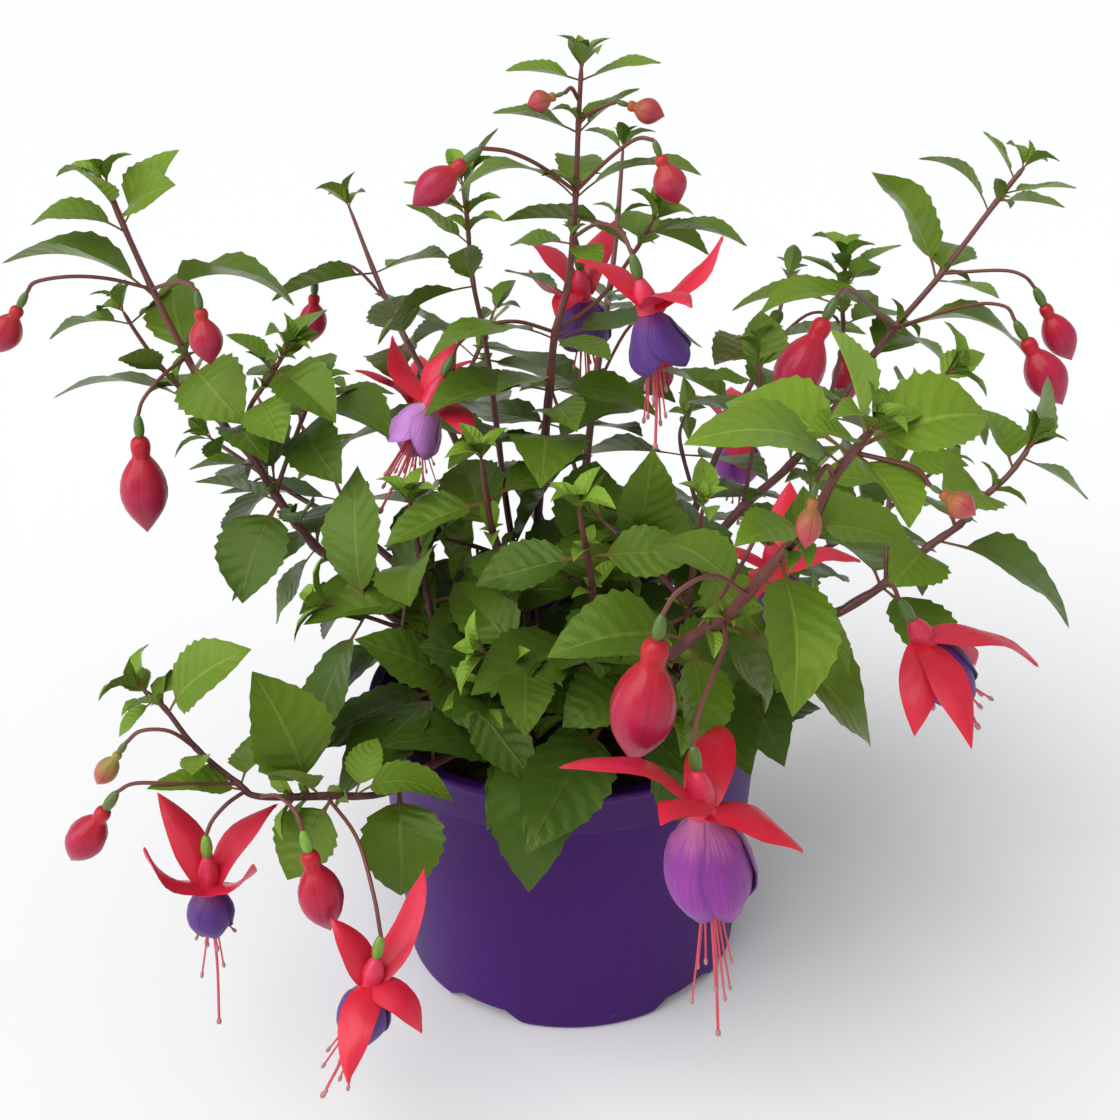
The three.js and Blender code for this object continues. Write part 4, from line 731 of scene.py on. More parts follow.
def bent(form, blade, width, fold, wave=0.0, curl=0.0, phase=0.0):
    """A copy of a flat blade form laid along the course of a blade."""
    copy = copy_of(form)
    flat = np.empty(len(copy.data.vertices) * 3, np.float32)
    form.data.vertices.foreach_get("co", flat)
    share, across, lift = flat.reshape(-1, 3).T.astype(float)
    offset = across * width
    lift = lift + fold * np.abs(offset)
    lift += wave * np.abs(across) * blade.length * np.sin(9 * share + phase + 2 * (across > 0))
    lift -= curl * blade.length * share**3
    places = blade.places(share, offset, lift)
    copy.data.vertices.foreach_set("co", places.astype(np.float32).ravel())
    copy.data.update()
    return copy


def placed(form, start, axis, length=1.0, radius=1.0, name="copy"):
    """A copy of a turned form, stood on a place along an axis and scaled."""
    turn = Matrix((*square_to(axis), axis)).transposed().to_4x4()
    copy = copy_of(form, name)
    copy.data.transform(Matrix.Translation(start) @ turn @ Matrix.Diagonal((radius, radius, length, 1)))
    return copy


def tubes(name, lines, sides=2):
    """Round closed stalks along lines of (points, radii), made as one bevelled curve."""
    data = new(bpy.ops.curve.primitive_nurbs_path_add, name).data
    data.splines.clear()
    data.dimensions = "3D"
    data.bevel_depth = 1
    data.bevel_resolution = sides
    data.use_fill_caps = True
    for points, radii in lines:
        spline = data.splines.new("POLY")
        spline.points.add(len(points) - 1)
        for place, knot, radius in zip(points, spline.points, radii):
            knot.co = (*place, 1)
            knot.radius = radius
    bpy.ops.object.convert(target="MESH")
    piece = bpy.context.object
    edit(piece)
    bpy.ops.mesh.remove_doubles(threshold=0.001)
    done(outward=True)
    return piece


def join(pieces, name):
    """Joins pieces into one object that keeps the material of each."""
    only(*pieces)
    bpy.ops.object.join()
    whole = bpy.context.object
    whole.name = name
    return whole


def with_modifier(piece, kind, **settings):
    """Adds a modifier to a piece and applies it."""
    only(piece)
    bpy.ops.object.modifier_add(type=kind)
    modifier = piece.modifiers[-1]
    for key, value in settings.items():
        setattr(modifier, key, value)
    bpy.ops.object.modifier_apply(modifier=modifier.name)


def stand_for(piece, node, angle):
    """Brings a finished piece to metres, smooths it and lets it stand for its node."""
    piece.data.transform(Matrix.Scale(MM, 4))
    piece.data.update()
    only(piece)
    bpy.ops.object.shade_smooth_by_angle(angle=math.radians(angle))
    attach(piece, "root")
    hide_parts(node)


def throw_away(*forms):
    for form in forms:
        bpy.data.objects.remove(form, do_unlink=True)


def slot_of(node):
    """The record's material slot of a node."""
    return next(row["material_slot"] for row in frame["record"]["subparts"] if row["node"] == node)


# Finishes


def tone(base, *shares):
    """A socket's colour: a base with a share for each of its parts, or one share for all."""
    shares = (shares or (1.0,)) * (1 if len(shares) == 3 else 3)
    return (*(share * part for share, part in zip(shares, base)), 1.0)


class Graph:
    """Short calls that add nodes to a tree and join them."""

    def __init__(self, tree):
        self.tree = tree

    def add(self, kind, inputs=(), **settings):
        node = self.tree.nodes.new("ShaderNode" + kind)
        for key, value in settings.items():
            setattr(node, key, value)
        for key, value in dict(inputs).items():
            self.feed(node.inputs[key], value)
        return node

    def feed(self, socket, value):
        if isinstance(value, bpy.types.NodeSocket):
            self.tree.links.new(value, socket)
        else:
            socket.default_value = value

    def maths(self, operation, *values):
        return self.add("Math", enumerate(values), operation=operation).outputs[0]

    def times(self, value, share):
        return self.maths("MULTIPLY", value, share)

    def plus(self, value, more):
        return self.maths("ADD", value, more)

    def gap(self, value, middle=0.5):
        """How far a value is from a middle one."""
        return self.maths("ABSOLUTE", self.maths("SUBTRACT", value, middle))

    def ramp(self, value, low, high, start=0.0, end=1.0):
        """A smooth step of a value from low to high, as start to end."""
        places = {"Value": value, "From Min": low, "From Max": high, "To Min": start, "To Max": end}
        return self.add("MapRange", places, interpolation_type="SMOOTHSTEP").outputs[0]

    def fall(self, value, low, high):
        """A smooth step down from 1 to 0."""
        return self.ramp(value, low, high, 1.0, 0.0)

    def blend(self, share, first, second):
        return self.add("Mix", {0: share, 6: first, 7: second}, data_type="RGBA").outputs[2]

    def over(self, first, mask, strength, second):
        """A colour with a second one over it where a mask shows, at a strength."""
        return self.blend(self.times(mask, strength), first, second)

    def noise(self, vector, scale, detail=3.0):
        return self.add("TexNoise", {"Vector": vector, "Scale": scale, "Detail": detail}).outputs["Fac"]

    def split(self, vector):
        return self.add("SeparateXYZ", {0: vector}).outputs

    def paired(self, x, y):
        return self.add("CombineXYZ", {0: x, 1: y}).outputs[0]

    def stretch(self, vector, scale):
        return self.add("Mapping", {"Vector": vector, "Scale": scale}).outputs[0]


class Finish(Graph):
    """A new material, with its shader's plain numbers set."""

    def __init__(self, name, **numbers):
        self.material = bpy.data.materials.new(name)
        self.material.use_nodes = True
        super().__init__(self.material.node_tree)
        self.shader = self.tree.nodes["Principled BSDF"].inputs
        self.put(**numbers)

    def put(self, **values):
        """Sets or feeds the shader's sockets."""
        for key, value in values.items():
            self.feed(self.shader[key.replace("_", " ")], value)

    def bump(self, height, strength, distance):
        node = self.add("Bump", {"Height": height, "Strength": strength, "Distance": distance})
        self.put(Normal=node.outputs[0])

    def shared(self, name, **inputs):
        """A shared effect, made once, placed in the finish with its own values."""
        makers = {"mottling": mottling_group, "streaks": streak_group, "leaf veins": vein_group}
        if name not in bpy.data.node_groups:
            makers[name](name)
        return self.add("Group", inputs, node_tree=bpy.data.node_groups[name]).outputs

    def chart(self):
        """The map of a piece's skin."""
        return self.add("UVMap", uv_map="UVMap").outputs[0]

    def place(self):
        return self.add("TexCoord").outputs["Object"]

    def look(self):
        """The tint of a piece as X, on leaves its painted light and shade, and its youth as Y."""
        return self.split(self.add("Attribute", attribute_name="look").outputs["Vector"])

    def underside(self):
        return self.add("Attribute", attribute_name="underside").outputs["Fac"]


def group(name, inputs, outputs):
    """The inner graph of a new node group with the given sockets, its inputs and its outputs."""
    tree = bpy.data.node_groups.new(name, "ShaderNodeTree")
    for label, kind, value in inputs:
        socket = tree.interface.new_socket(label, in_out="INPUT", socket_type="NodeSocket" + kind)
        if value is not None:
            socket.default_value = value
    for label, kind in outputs:
        tree.interface.new_socket(label, in_out="OUTPUT", socket_type="NodeSocket" + kind)
    source = tree.nodes.new("NodeGroupInput").outputs
    return Graph(tree), source, tree.nodes.new("NodeGroupOutput").inputs


def mottling_group(name):
    """Soft patches of two colours with a finer grain, as on skins, soil and plastic."""
    sockets = [
        ("Vector", "Vector", None), ("Scale", "Float", 20.0), ("Grain", "Float", 6.0),
        ("Dark", "Color", (0, 0, 0, 1)), ("Light", "Color", (1, 1, 1, 1)),
    ]
    graph, source, target = group(name, sockets, [("Color", "Color"), ("Height", "Float")])
    patches = graph.noise(source["Vector"], source["Scale"])
    grain = graph.noise(source["Vector"], graph.times(source["Scale"], source["Grain"]), 4.0)
    both = graph.plus(graph.times(patches, 0.7), graph.times(grain, 0.3))
    share = graph.ramp(both, 0.36, 0.64)
    graph.feed(target["Color"], graph.blend(share, source["Dark"], source["Light"]))
    graph.feed(target["Height"], both)


def streak_group(name):
    """Fine streaks that run along a skin's map, as on petals and sepals."""
    sockets = [("Vector", "Vector", None), ("Across", "Float", 60.0), ("Along", "Float", 3.0)]
    graph, source, target = group(name, sockets, [("Mask", "Float")])
    parts = graph.split(source["Vector"])
    place = graph.paired(
        graph.times(parts["X"], source["Along"]), graph.times(parts["Y"], source["Across"])
    )
    graph.feed(target["Mask"], graph.ramp(graph.noise(place, 1.0, 2.0), 0.3, 0.7))


def vein_group(name):
    """A midrib and curved side veins on a blade's map, with the quilting between them."""
    sockets = [("Vector", "Vector", None), ("Pairs", "Float", 8.0)]
    outputs = [("Midrib", "Float"), ("Veins", "Float"), ("Height", "Float")]
    graph, source, target = group(name, sockets, outputs)
    parts = graph.split(source["Vector"])
    off = graph.times(graph.gap(parts["Y"]), 2.0)
    wobble = graph.times(graph.noise(graph.stretch(source["Vector"], (6, 3, 1)), 1.0), 0.05)
    lean = graph.times(off, graph.plus(graph.times(off, 0.07), 0.11))
    course = graph.plus(graph.maths("SUBTRACT", parts["X"], lean), wobble)
    near = graph.gap(graph.maths("FRACT", graph.times(course, source["Pairs"])))
    rib = graph.fall(off, 0.02, 0.085)
    graph.feed(target["Midrib"], rib)
    graph.feed(target["Veins"], graph.times(graph.fall(near, 0.0, 0.07), graph.fall(off, 0.55, 0.95)))
    graph.feed(target["Height"], graph.maths("SUBTRACT", graph.ramp(near, 0.0, 0.5), rib))


def plastic_finish(base, worn):
    """Satin moulded plastic, with a fine grain and a little dust and scuffing at the edges, painted shade
    towards the right side and painted highlights along the two ledges of the rim.
    """
    graph = Finish("pot plastic", Specular_IOR_Level=0.24, Specular_Tint=(0.85, 0.55, 1.0, 1.0))
    place = graph.place()
    tones = graph.shared(
        "mottling", Vector=place, Scale=9.0, Grain=30.0, Dark=tone(base, 0.86), Light=tone(base, 1.12)
    )
    scuffs = graph.ramp(graph.noise(graph.stretch(place, (1, 1, 3)), 260.0, 5.0), 0.66, 0.78)
    # The place on the pot is in metres.
    height = graph.split(place)["Z"]
    rim = graph.ramp(height, 0.099, 0.1032)
    foot = graph.ramp(height, 0.012, 0.0)
    edge = graph.plus(graph.times(graph.plus(rim, foot), 0.5), 0.06)
    # Painted shade: the plastic darkens towards the right side of the pot, away from the light.
    painted_shade = graph.ramp(graph.split(place)["X"], -0.066, 0.0, 0.0, 0.45)
    skin = graph.blend(painted_shade, tones["Color"], tone(base, 0.62))
    # Painted highlights: thin lighter lines along the foot of the rim band and along the rim line, where
    # the ledges catch the light.
    lines = [
        graph.ramp(graph.gap(height, (POT_HEIGHT - below) * MM), 0.0, 0.0007, 0.5, 0.0)
        for below in (RIM_BAND, RIM_LINE)
    ]
    skin = graph.blend(graph.plus(*lines), skin, tone(base, 2.4))
    graph.put(
        Base_Color=graph.blend(graph.times(scuffs, edge), skin, tone(worn)),
        Roughness=graph.plus(graph.times(tones["Height"], 0.16), 0.4),
    )
    graph.bump(graph.noise(place, 1500.0, 2.0), 0.12, 0.0003)
    return graph.material


def soil_finish():
    """Dark peat with paler flecks."""
    graph = Finish("potting soil", Specular_IOR_Level=0.25)
    tones = graph.shared(
        "mottling", Vector=graph.place(), Scale=110.0, Grain=6.0,
        Dark=(0.008, 0.006, 0.005, 1), Light=(0.075, 0.045, 0.028, 1),
    )
    graph.put(Base_Color=tones["Color"], Roughness=graph.plus(graph.times(tones["Height"], 0.2), 0.75))
    graph.bump(tones["Height"], 0.9, 0.002)
    return graph.material


def leaf_finish(green, young, vein):
    """Toothed leaves: pale ribs, quilted halves, reddish stalks, pale undersides, bright when young, with
    painted light and shade that makes high, outer leaves lighter and low, inner ones darker.
    """
    graph = Finish("leaf", Specular_IOR_Level=0.34, Specular_Tint=(0.82, 1.0, 0.45, 1.0))
    chart, look = graph.chart(), graph.look()
    # On a leaf the look's X is painted light and shade: it lightens or darkens the green, the warm patches,
    # the ribs and the undersides.
    tint = look["X"]
    veins = graph.shared("leaf veins", Vector=chart, Pairs=8.5)
    blade = graph.blend(tint, tone(green, 0.3, 0.42, 0.5), tone(green, 1.6, 1.6, 1.2))
    patch = graph.ramp(graph.noise(graph.place(), 55.0), 0.35, 0.68)
    warm = graph.blend(tint, tone(green, 0.5), tone(green, 2.1, 1.6, 1.0))
    blade = graph.over(blade, patch, 0.35, warm)
    cells = graph.add(
        "TexVoronoi", {"Vector": graph.stretch(chart, (30, 14, 1)), "Scale": 1.0},
        feature="DISTANCE_TO_EDGE",
    ).outputs["Distance"]
    rib = graph.blend(tint, tone(vein, 0.3), tone(vein, 1.15))
    blade = graph.blend(graph.ramp(cells, 0.0, 0.12, 0.16, 0.0), blade, rib)
    blade = graph.blend(look["Y"], blade, tone(young))
    shaded = (0.5 * green[0] + 0.02, 0.5 * green[1] + 0.02, green[2] + 0.01, 1)
    lit = (1.6 * green[0] + 0.05, 1.5 * green[1] + 0.05, green[2] + 0.035, 1)
    blade = graph.over(blade, graph.underside(), 0.6, graph.blend(tint, shaded, lit))
    lines = graph.maths("MAXIMUM", graph.times(veins["Veins"], 0.3), veins["Midrib"])
    blade = graph.over(blade, lines, 0.8, rib)
    stalk = graph.fall(graph.split(chart)["X"], 0.13, 0.24)
    blade = graph.over(blade, stalk, 0.8, (0.23, 0.085, 0.045, 1))
    graph.put(Base_Color=blade, Roughness=graph.ramp(patch, 0.0, 1.0, 0.33, 0.44))
    graph.bump(graph.plus(veins["Height"], graph.times(cells, 0.5)), 0.3, 0.0005)
    return graph.material


def bark_finish(old, young):
    """Shoots: plum-brown where old, tan and green-red where young."""
    graph = Finish("shoot bark", Specular_IOR_Level=0.4)
    youth, place = graph.look()["Y"], graph.place()
    tones = graph.shared(
        "mottling", Vector=place, Scale=260.0, Grain=5.0, Dark=tone(old, 0.55), Light=tone(old, 1.5)
    )
    fresh = graph.blend(graph.noise(place, 300.0), tone(young), tone(young, 0.9, 1.35, 0.9))
    graph.put(
        Base_Color=graph.blend(youth, tones["Color"], fresh),
        Roughness=graph.ramp(youth, 0.0, 1.0, 0.6, 0.42),
    )
    graph.bump(tones["Height"], 0.5, 0.0005)
    return graph.material


def ovary_finish():
    """Ovaries: dull green or fresh green, faintly streaked."""
    graph = Finish("ovary", Specular_IOR_Level=0.5)
    fresh = graph.blend(graph.look()["X"], (0.035, 0.055, 0.02, 1), (0.2, 0.4, 0.035, 1))
    streaks = graph.shared("streaks", Vector=graph.chart(), Across=2.0, Along=12.0)["Mask"]
    graph.put(
        Base_Color=graph.over(fresh, streaks, 0.4, (0.1, 0.14, 0.03, 1)),
        Roughness=graph.ramp(streaks, 0.0, 1.0, 0.3, 0.42),
    )
    return graph.material


def bud_finish(ripe, seam):
    """Closed buds: pink-red with dark seams between the four sepals, greener when young."""
    graph = Finish("bud skin", Specular_IOR_Level=0.24, Coat_Weight=0.14, Coat_Roughness=0.14)
    parts = graph.split(graph.chart())
    turn, up = parts["X"], parts["Y"]
    streaks = graph.shared("streaks", Vector=graph.paired(up, turn), Across=55.0, Along=3.0)["Mask"]
    top, end = tone(ripe, 1.05, 0.75, 0.5), tone(ripe, 0.84, 0.85, 1.45)
    skin = graph.blend(graph.ramp(up, 0.05, 0.75), top, end)
    skin = graph.over(skin, streaks, 0.32, tone(ripe, 0.8, 0.5, 0.6))
    green = graph.blend(graph.ramp(up, 0.2, 0.8), (0.25, 0.3, 0.05, 1), (0.5, 0.12, 0.09, 1))
    skin = graph.blend(graph.look()["Y"], skin, green)
    off = graph.gap(graph.maths("FRACT", graph.plus(graph.times(turn, 4.0), 0.5)))
    line = graph.times(graph.fall(off, 0.0, 0.05), graph.ramp(up, 0.24, 0.36))
    graph.put(
        Base_Color=graph.over(skin, line, 0.8, tone(seam)),
        Roughness=graph.ramp(streaks, 0.0, 1.0, 0.28, 0.4),
    )
    graph.bump(streaks, 0.12, 0.0004)
    return graph.material


def sepal_finish(inner, outer):
    """Waxy sepals and flower tubes: scarlet inside, pinker outside, with fine lengthwise veins."""
    graph = Finish("sepal", Specular_IOR_Level=0.35, Coat_Weight=0.18, Coat_Roughness=0.2)
    chart = graph.chart()
    streaks = graph.shared("streaks", Vector=chart, Across=26.0, Along=1.6)["Mask"]
    patch = graph.noise(graph.place(), 90.0)
    skin = graph.over(tone(inner), graph.look()["X"], 0.7, tone(outer))
    skin = graph.over(skin, graph.underside(), 0.6, tone(outer))
    deep = tone(inner, 0.78, 0.6, 1.1)
    skin = graph.over(skin, streaks, 0.4, deep)
    skin = graph.blend(graph.ramp(patch, 0.5, 0.8, 0.0, 0.3), skin, tone(outer))
    rib = graph.ramp(graph.gap(graph.split(chart)["Y"]), 0.0, 0.03, 0.35, 0.0)
    graph.put(Base_Color=graph.blend(rib, skin, deep), Roughness=graph.ramp(patch, 0.3, 0.7, 0.32, 0.46))
    graph.bump(streaks, 0.18, 0.0004)
    return graph.material


def petal_finish(name, body, foot, edge):
    """Velvety petals: veined from a pinker foot, deeper towards the edge."""
    graph = Finish(name, Specular_IOR_Level=0.4, Sheen_Weight=0.08, Sheen_Roughness=0.4)
    chart = graph.chart()
    parts = graph.split(chart)
    streaks = graph.shared("streaks", Vector=chart, Across=22.0, Along=1.5)["Mask"]
    patch = graph.noise(graph.place(), 120.0)
    skin = graph.blend(graph.ramp(patch, 0.3, 0.75, 0.0, 0.5), tone(body), tone(body, 1.45))
    near = graph.plus(parts["X"], graph.times(streaks, -0.22))
    skin = graph.blend(graph.fall(near, -0.14, 0.21), skin, tone(foot))
    sides, end = graph.ramp(graph.gap(parts["Y"]), 0.4, 0.5), graph.ramp(parts["X"], 0.86, 1.0)
    rim = graph.maths("MAXIMUM", sides, end)
    skin = graph.over(skin, rim, 0.65, tone(edge))
    graph.put(
        Base_Color=graph.over(skin, streaks, 0.4, tone(body, 0.5)),
        Roughness=graph.ramp(patch, 0.3, 0.7, 0.42, 0.58),
    )
    graph.bump(streaks, 0.25, 0.0004)
    return graph.material


def thread_finish(name, root, tip):
    """Filaments, styles and what they carry, from the colour at the foot to that at the end."""
    graph = Finish(name, Specular_IOR_Level=0.5)
    grain = graph.noise(graph.place(), 900.0)
    skin = graph.blend(graph.look()["Y"], tone(root), tone(tip))
    graph.put(
        Base_Color=graph.blend(graph.ramp(grain, 0.4, 0.7, 0.0, 0.35), skin, tone(tip, 0.7)),
        Roughness=graph.ramp(grain, 0.3, 0.7, 0.35, 0.55),
    )
    return graph.material


# Sizes and colours that a user would change


def colour(name, description, default):
    return FloatVectorProperty(name=name, description=description, default=default, subtype="COLOR")


class FuchsiaPot(PropertyGroup):
    height: FloatProperty(
        name="Height", description="Height of the pot in metres", default=POT_HEIGHT * MM, unit="LENGTH"
    )
    sides: IntProperty(name="Sides", description="Flat sides round the turned wall", default=POT_SIDES)
    plastic: colour("Plastic", "Colour of the pot", (0.053, 0.0075, 0.136))
    worn: colour("Worn", "Colour of scuffs and dust on the plastic", (0.2, 0.15, 0.3))
    crumbs: IntProperty(name="Crumbs", description="Loose crumbs on the soil", default=CRUMBS)


class FuchsiaPlant(PropertyGroup):
    leaf: colour("Leaf", "Green of a grown leaf", (0.086, 0.152, 0.013))
    young: colour("Young leaf", "Green of the leaves at the tips", (0.19, 0.32, 0.03))
    vein: colour("Vein", "Colour of the ribs", (0.22, 0.3, 0.04))
    bark: colour("Bark", "Colour of the old shoots", (0.085, 0.032, 0.034))
    shoot: colour("Young shoot", "Colour of the young shoots", (0.17, 0.042, 0.042))


class FuchsiaFlowers(PropertyGroup):
    bud: colour("Bud", "Colour of a ripe bud", (0.47, 0.018, 0.046))
    scarlet: colour("Sepal", "Colour of a sepal's upper face", (0.7, 0.013, 0.034))
    pink: colour("Sepal outside", "Colour of a sepal's outer face", (0.66, 0.05, 0.125))
    violet: colour("Violet", "Colour of most petals", (0.084, 0.022, 0.196))
    stamens: IntProperty(name="Stamens", description="Stamens in each flower", default=STAMENS)


# Leaves


def tooth_rows(teeth):
    """Rows of (share of length, half width) of a leaf: a stalk, then a pointed oval with teeth."""

    def row(x, grow):
        half = 0.5 * x**0.7 * (1 - x) ** 1.08 / FULLEST
        return round(PETIOLE + (1 - PETIOLE) * x, 4), round(half * grow, 4)

    rows = [(0.0, 0.03), (0.1, 0.028), (PETIOLE, 0.04), row(0.04, 1)]
    for tooth in range(1, teeth):
        fade = 1 - tooth / teeth
        rows.append(row(tooth / teeth, 1 - TOOTH_DEPTH * (0.3 + 0.5 * fade)))
        rows.append(row((tooth + 0.6) / teeth, 1 + TOOTH_DEPTH * (0.7 + 0.5 * fade)))
    return [*rows, (1.0, 0.0)]


def leaf_root(line, share, tip):
    """The foot of a leaf: just under a shoot's skin, on the side that the leaf grows to."""
    place, ahead = along(line, share - NODE_SHIFT / (len(line) - 1))
    return place + off_axis(tip - place, ahead) * LEAF_ROOT_DEPTH


def hand_leaves(shoot, draw):
    """Leaves with a place of their own, as (foot, tip, width, roll, arch, share of the shoot)."""
    leaves = []
    for count, x, y, z, width, *more in shoot["leaves"]:
        roll, own_arch = (more + [0, LEAF_ARCH][len(more):])[:2]
        turn = roll + LEAF_ROLL * (2 * draw() - 1)
        tip = Vector((x, y, z))
        share = count / (len(shoot["path"]) - 1)
        root = leaf_root(shoot["line"], share, tip)
        arch = SMALL_ARCH if (tip - root).length < SMALL_LEAF else own_arch
        leaves.append((root, tip, width, turn, arch, share))
    return leaves


def ruled_leaves(shoot, draw):
    """Opposite pairs up a shoot, each pair a quarter turn from the one below, smaller to the tip."""
    line, spacing = shoot["line"], shoot["leaves"]
    length = sum((b - a).length for a, b in zip(line, line[1:]))
    start = FIRST_NODE if shoot["rooted"] else spacing * 0.7
    count = max(1, math.floor((length - start) / spacing) + 1)
    leaves = []
    for node in range(count):
        share = (start + ((length - start) * node) / count) / length
        base, ahead = along(line, share)
        across, over = square_to(ahead)
        turn = math.radians(90 * node + 50 * draw())
        reach = mixed(*RULED_LENGTH, share)
        for sign in (1, -1):
            size = reach * (0.85 + 0.3 * draw())
            heading = round_about(across, over, turn) * sign + ahead * RULED_CLIMB
            heading.z -= RULED_DROOP * (0.5 + draw())
            tip = base + heading.normalized() * size
            roll = LEAF_ROLL * (2 * draw() - 1)
            leaves.append((leaf_root(line, share, tip), tip, size * LEAF_RATIO, roll, SMALL_ARCH, share))
    return leaves


def shoots():
    """Every woody shoot with its middle line, its fine line and its leaves."""
    rows = []
    for stem, radii, path, leaves in SHOOTS:
        rooted = path[0][2] < SOIL_LEVEL
        runs = max(1, math.floor((MAIN_RUNS if rooted else SIDE_RUNS) / (len(path) - 1) + 0.5))
        rows.append({
            "stem": stem, "radii": radii, "path": path, "leaves": leaves, "rooted": rooted,
            "line": spine(path, runs), "fine": spine(path, FINE_RUNS),
        })
    draw = drawer(SEED)
    for shoot in rows:
        maker = hand_leaves if isinstance(shoot["leaves"], list) else ruled_leaves
        shoot["grown"] = maker(shoot, draw)
    return rows


def corners_of(node):
    """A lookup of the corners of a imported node, in millimetres."""
    mesh = frame["nodes"][node].data
    tree = kdtree.KDTree(len(mesh.vertices))
    for number, corner in enumerate(mesh.vertices):
        tree.insert(corner.co / MM, number)
    tree.balance()
    return tree


def settled(leaf, corners):
    """A leaf as it was bent clear of its neighbours, or nothing where it had no free place."""
    root, tip, least, roll, arch, _ = leaf
    size = (tip - root).length
    facing = leaf_facing(root)
    straight = Blade(root, tip, roll, arch, facing)
    for sideways, up, part in BENDS:
        place = root.lerp(tip, part) + straight.side * sideways * part * size
        place += straight.normal * up * part * size
        if corners.find(place)[2] < TIP_MATCH:
            return Blade(root, place, roll, arch, facing), part * max(least, LEAST_RATIO * size)
    return None


def leafed(shoot, corners, forms, draw):
    """The leaves of one shoot, each one with its own fold, waves, painted light and shade, and age."""
    grown = []
    for leaf in shoot["grown"]:
        found = settled(leaf, corners)
        fold, wave, phase, tint, curl = (draw() for _ in range(5))
        if not found:
            continue
        blade, width = found
        piece = bent(
            forms["leaf"], blade, width * (LARGE_LEAF_GROWTH if width > LARGE_LEAF else 1.0),
            0.12 + 0.32 * fold, 0.035 + 0.05 * wave, 0.02 + 0.06 * curl, math.tau * phase,
        )
        near_tip = max(0.0, leaf[5] - 0.8) / 0.2
        small = held((YOUNG_LEAF - blade.length) / YOUNG_LEAF_SPAN)
        tip = blade.places(np.array([1.0]), [0], [0])[0]
        out = math.hypot(blade.base.x, blade.base.y)
        # Painted light and shade: leaves that stand higher, further out or on a sunlit shoot get a lighter
        # green.
        climb, spread, chance = LIT_SHARES
        light = climb * ((blade.base.z + tip[2]) / 2 - LIT_HEIGHT) / LIT_CLIMB
        light += spread * (out - LIT_REACH) / LIT_SPREAD
        light += chance * (tint - 0.5) + SUNLIT.get(shoot["stem"], 0)
        set_look(piece, held(light), 0.1 * tint + 0.6 * max(small, 0.4 * near_tip * small))
        grown.append(piece)
    return grown


def tuft(line, share, forms, draw, sizes, spread):
    """A growing tip: opposite pairs of small bright leaves, each closer and steeper than the last."""
    place, ahead = along(line, share)
    across, over = square_to(ahead)
    first = math.tau * draw()
    facing = (ahead + UP * 0.4).normalized()
    grown = []
    for pair, size in enumerate(sizes):
        foot = place + ahead * (0.9 * pair)
        rise = 0.55 + 0.5 * pair
        for sign in (1, -1):
            heading = sign * round_about(across, over, first + math.pi / 2 * pair) * spread
            heading += ahead * rise * (0.8 + 0.4 * draw())
            reach = size * (0.8 + 0.4 * draw())
            tip = foot + heading.normalized() * reach
            blade = Blade(foot, tip, 20 * draw() - 10, 0.12 + 0.1 * draw(), facing)
            piece = bent(forms["small"], blade, LEAF_RATIO * reach, 0.35 + 0.3 * draw(), 0.03, 0.03, draw())
            set_look(piece, draw(), 0.62 + 0.38 * draw())
            grown.append(piece)
    return grown


def tufts(shoot, forms, draw):
    """The growing tip of a shoot and the small side shoots in the angles of its leaves."""
    line = shoot["fine"]
    grown = tuft(line, 0.995, forms, draw, TIP_TUFT, 1.0)
    for share in sorted({leaf[5] for leaf in shoot["grown"] if leaf[5] < 0.93}):
        if draw() < TUFT_CHANCE:
            grown += tuft(line, share, forms, draw, (9 + 5 * draw(), 5), 1.3)
    return grown


# Shoots


def stem_lines(shoot):
    """The fine line of a shoot with its radii, thickened a little at every pair of leaves."""
    line = shoot["fine"]
    last = len(line) - 1
    radii = []
    for count in range(last + 1):
        near = min((abs(count - leaf[5] * last) for leaf in shoot["grown"]), default=9)
        swell = 1 + NODE_SWELL * max(0.0, 1 - near / 1.2)
        radii.append(mixed(*shoot["radii"], count / last) * swell)
    radii[-1] *= 0.7
    return line, radii


def pedicel_line(rows):
    line = spine(rows, PEDICEL_RUNS)
    return line, [STALK_RADIUS] * len(line)


def age_look(piece):
    """Marks stalks by height, from old wood near the soil to young shoots above."""
    layer = piece.data.color_attributes.new("look", "FLOAT_COLOR", "POINT")
    for corner, mark in zip(piece.data.vertices, layer.data):
        mark.color = (0.5, held((corner.co.z - OLD_WOOD) / (YOUNG_WOOD - OLD_WOOD)), 0.0, 1.0)


def grow_stem(name, rows, forms, finishes, draw):
    """One leafy plant shoot with all that grows on it, as one piece."""
    corners = corners_of(name)
    own = [shoot for shoot in rows if shoot["stem"] == name]
    wood = tubes("wood", [stem_lines(shoot) for shoot in own])
    age_look(wood)
    parts = [dress(wood, finishes["bark"])]
    stalks = []
    hung = [row[:4] for row in BUDS]
    hung += [[row[key] for key in ("name", "stem", "pedicel", "cup")] for row in FLOWERS]
    for owner, stem, pedicel, end in hung:
        if stem == name:
            stalks.append(pedicel_line(pedicel))
            start, axis, length = hanging(pedicel, end)
            size = min(1, length / FULL_BUD)
            fresh = FRESH_OVARY if owner in FRESH_OVARIES else DULL_OVARY
            ovary = placed(forms["ovary"], start, axis, size, size)
            parts.append(dress(ovary, finishes["ovary"], fresh * (0.6 + 0.4 * draw()), 1 - size))
    if stalks:
        parts.append(dress(tubes("flower stalks", stalks), finishes["bark"], 0.5, 0.95))
    green = []
    for shoot in own:
        green += leafed(shoot, corners, forms, draw)
        green += tufts(shoot, forms, draw)
    foliage = dress(join(green, "foliage"), finishes["leaf"])
    stand_for(join([foliage, *parts], name.replace("stem", "shoot")), name, SHARP["shoot"])


# Flowers


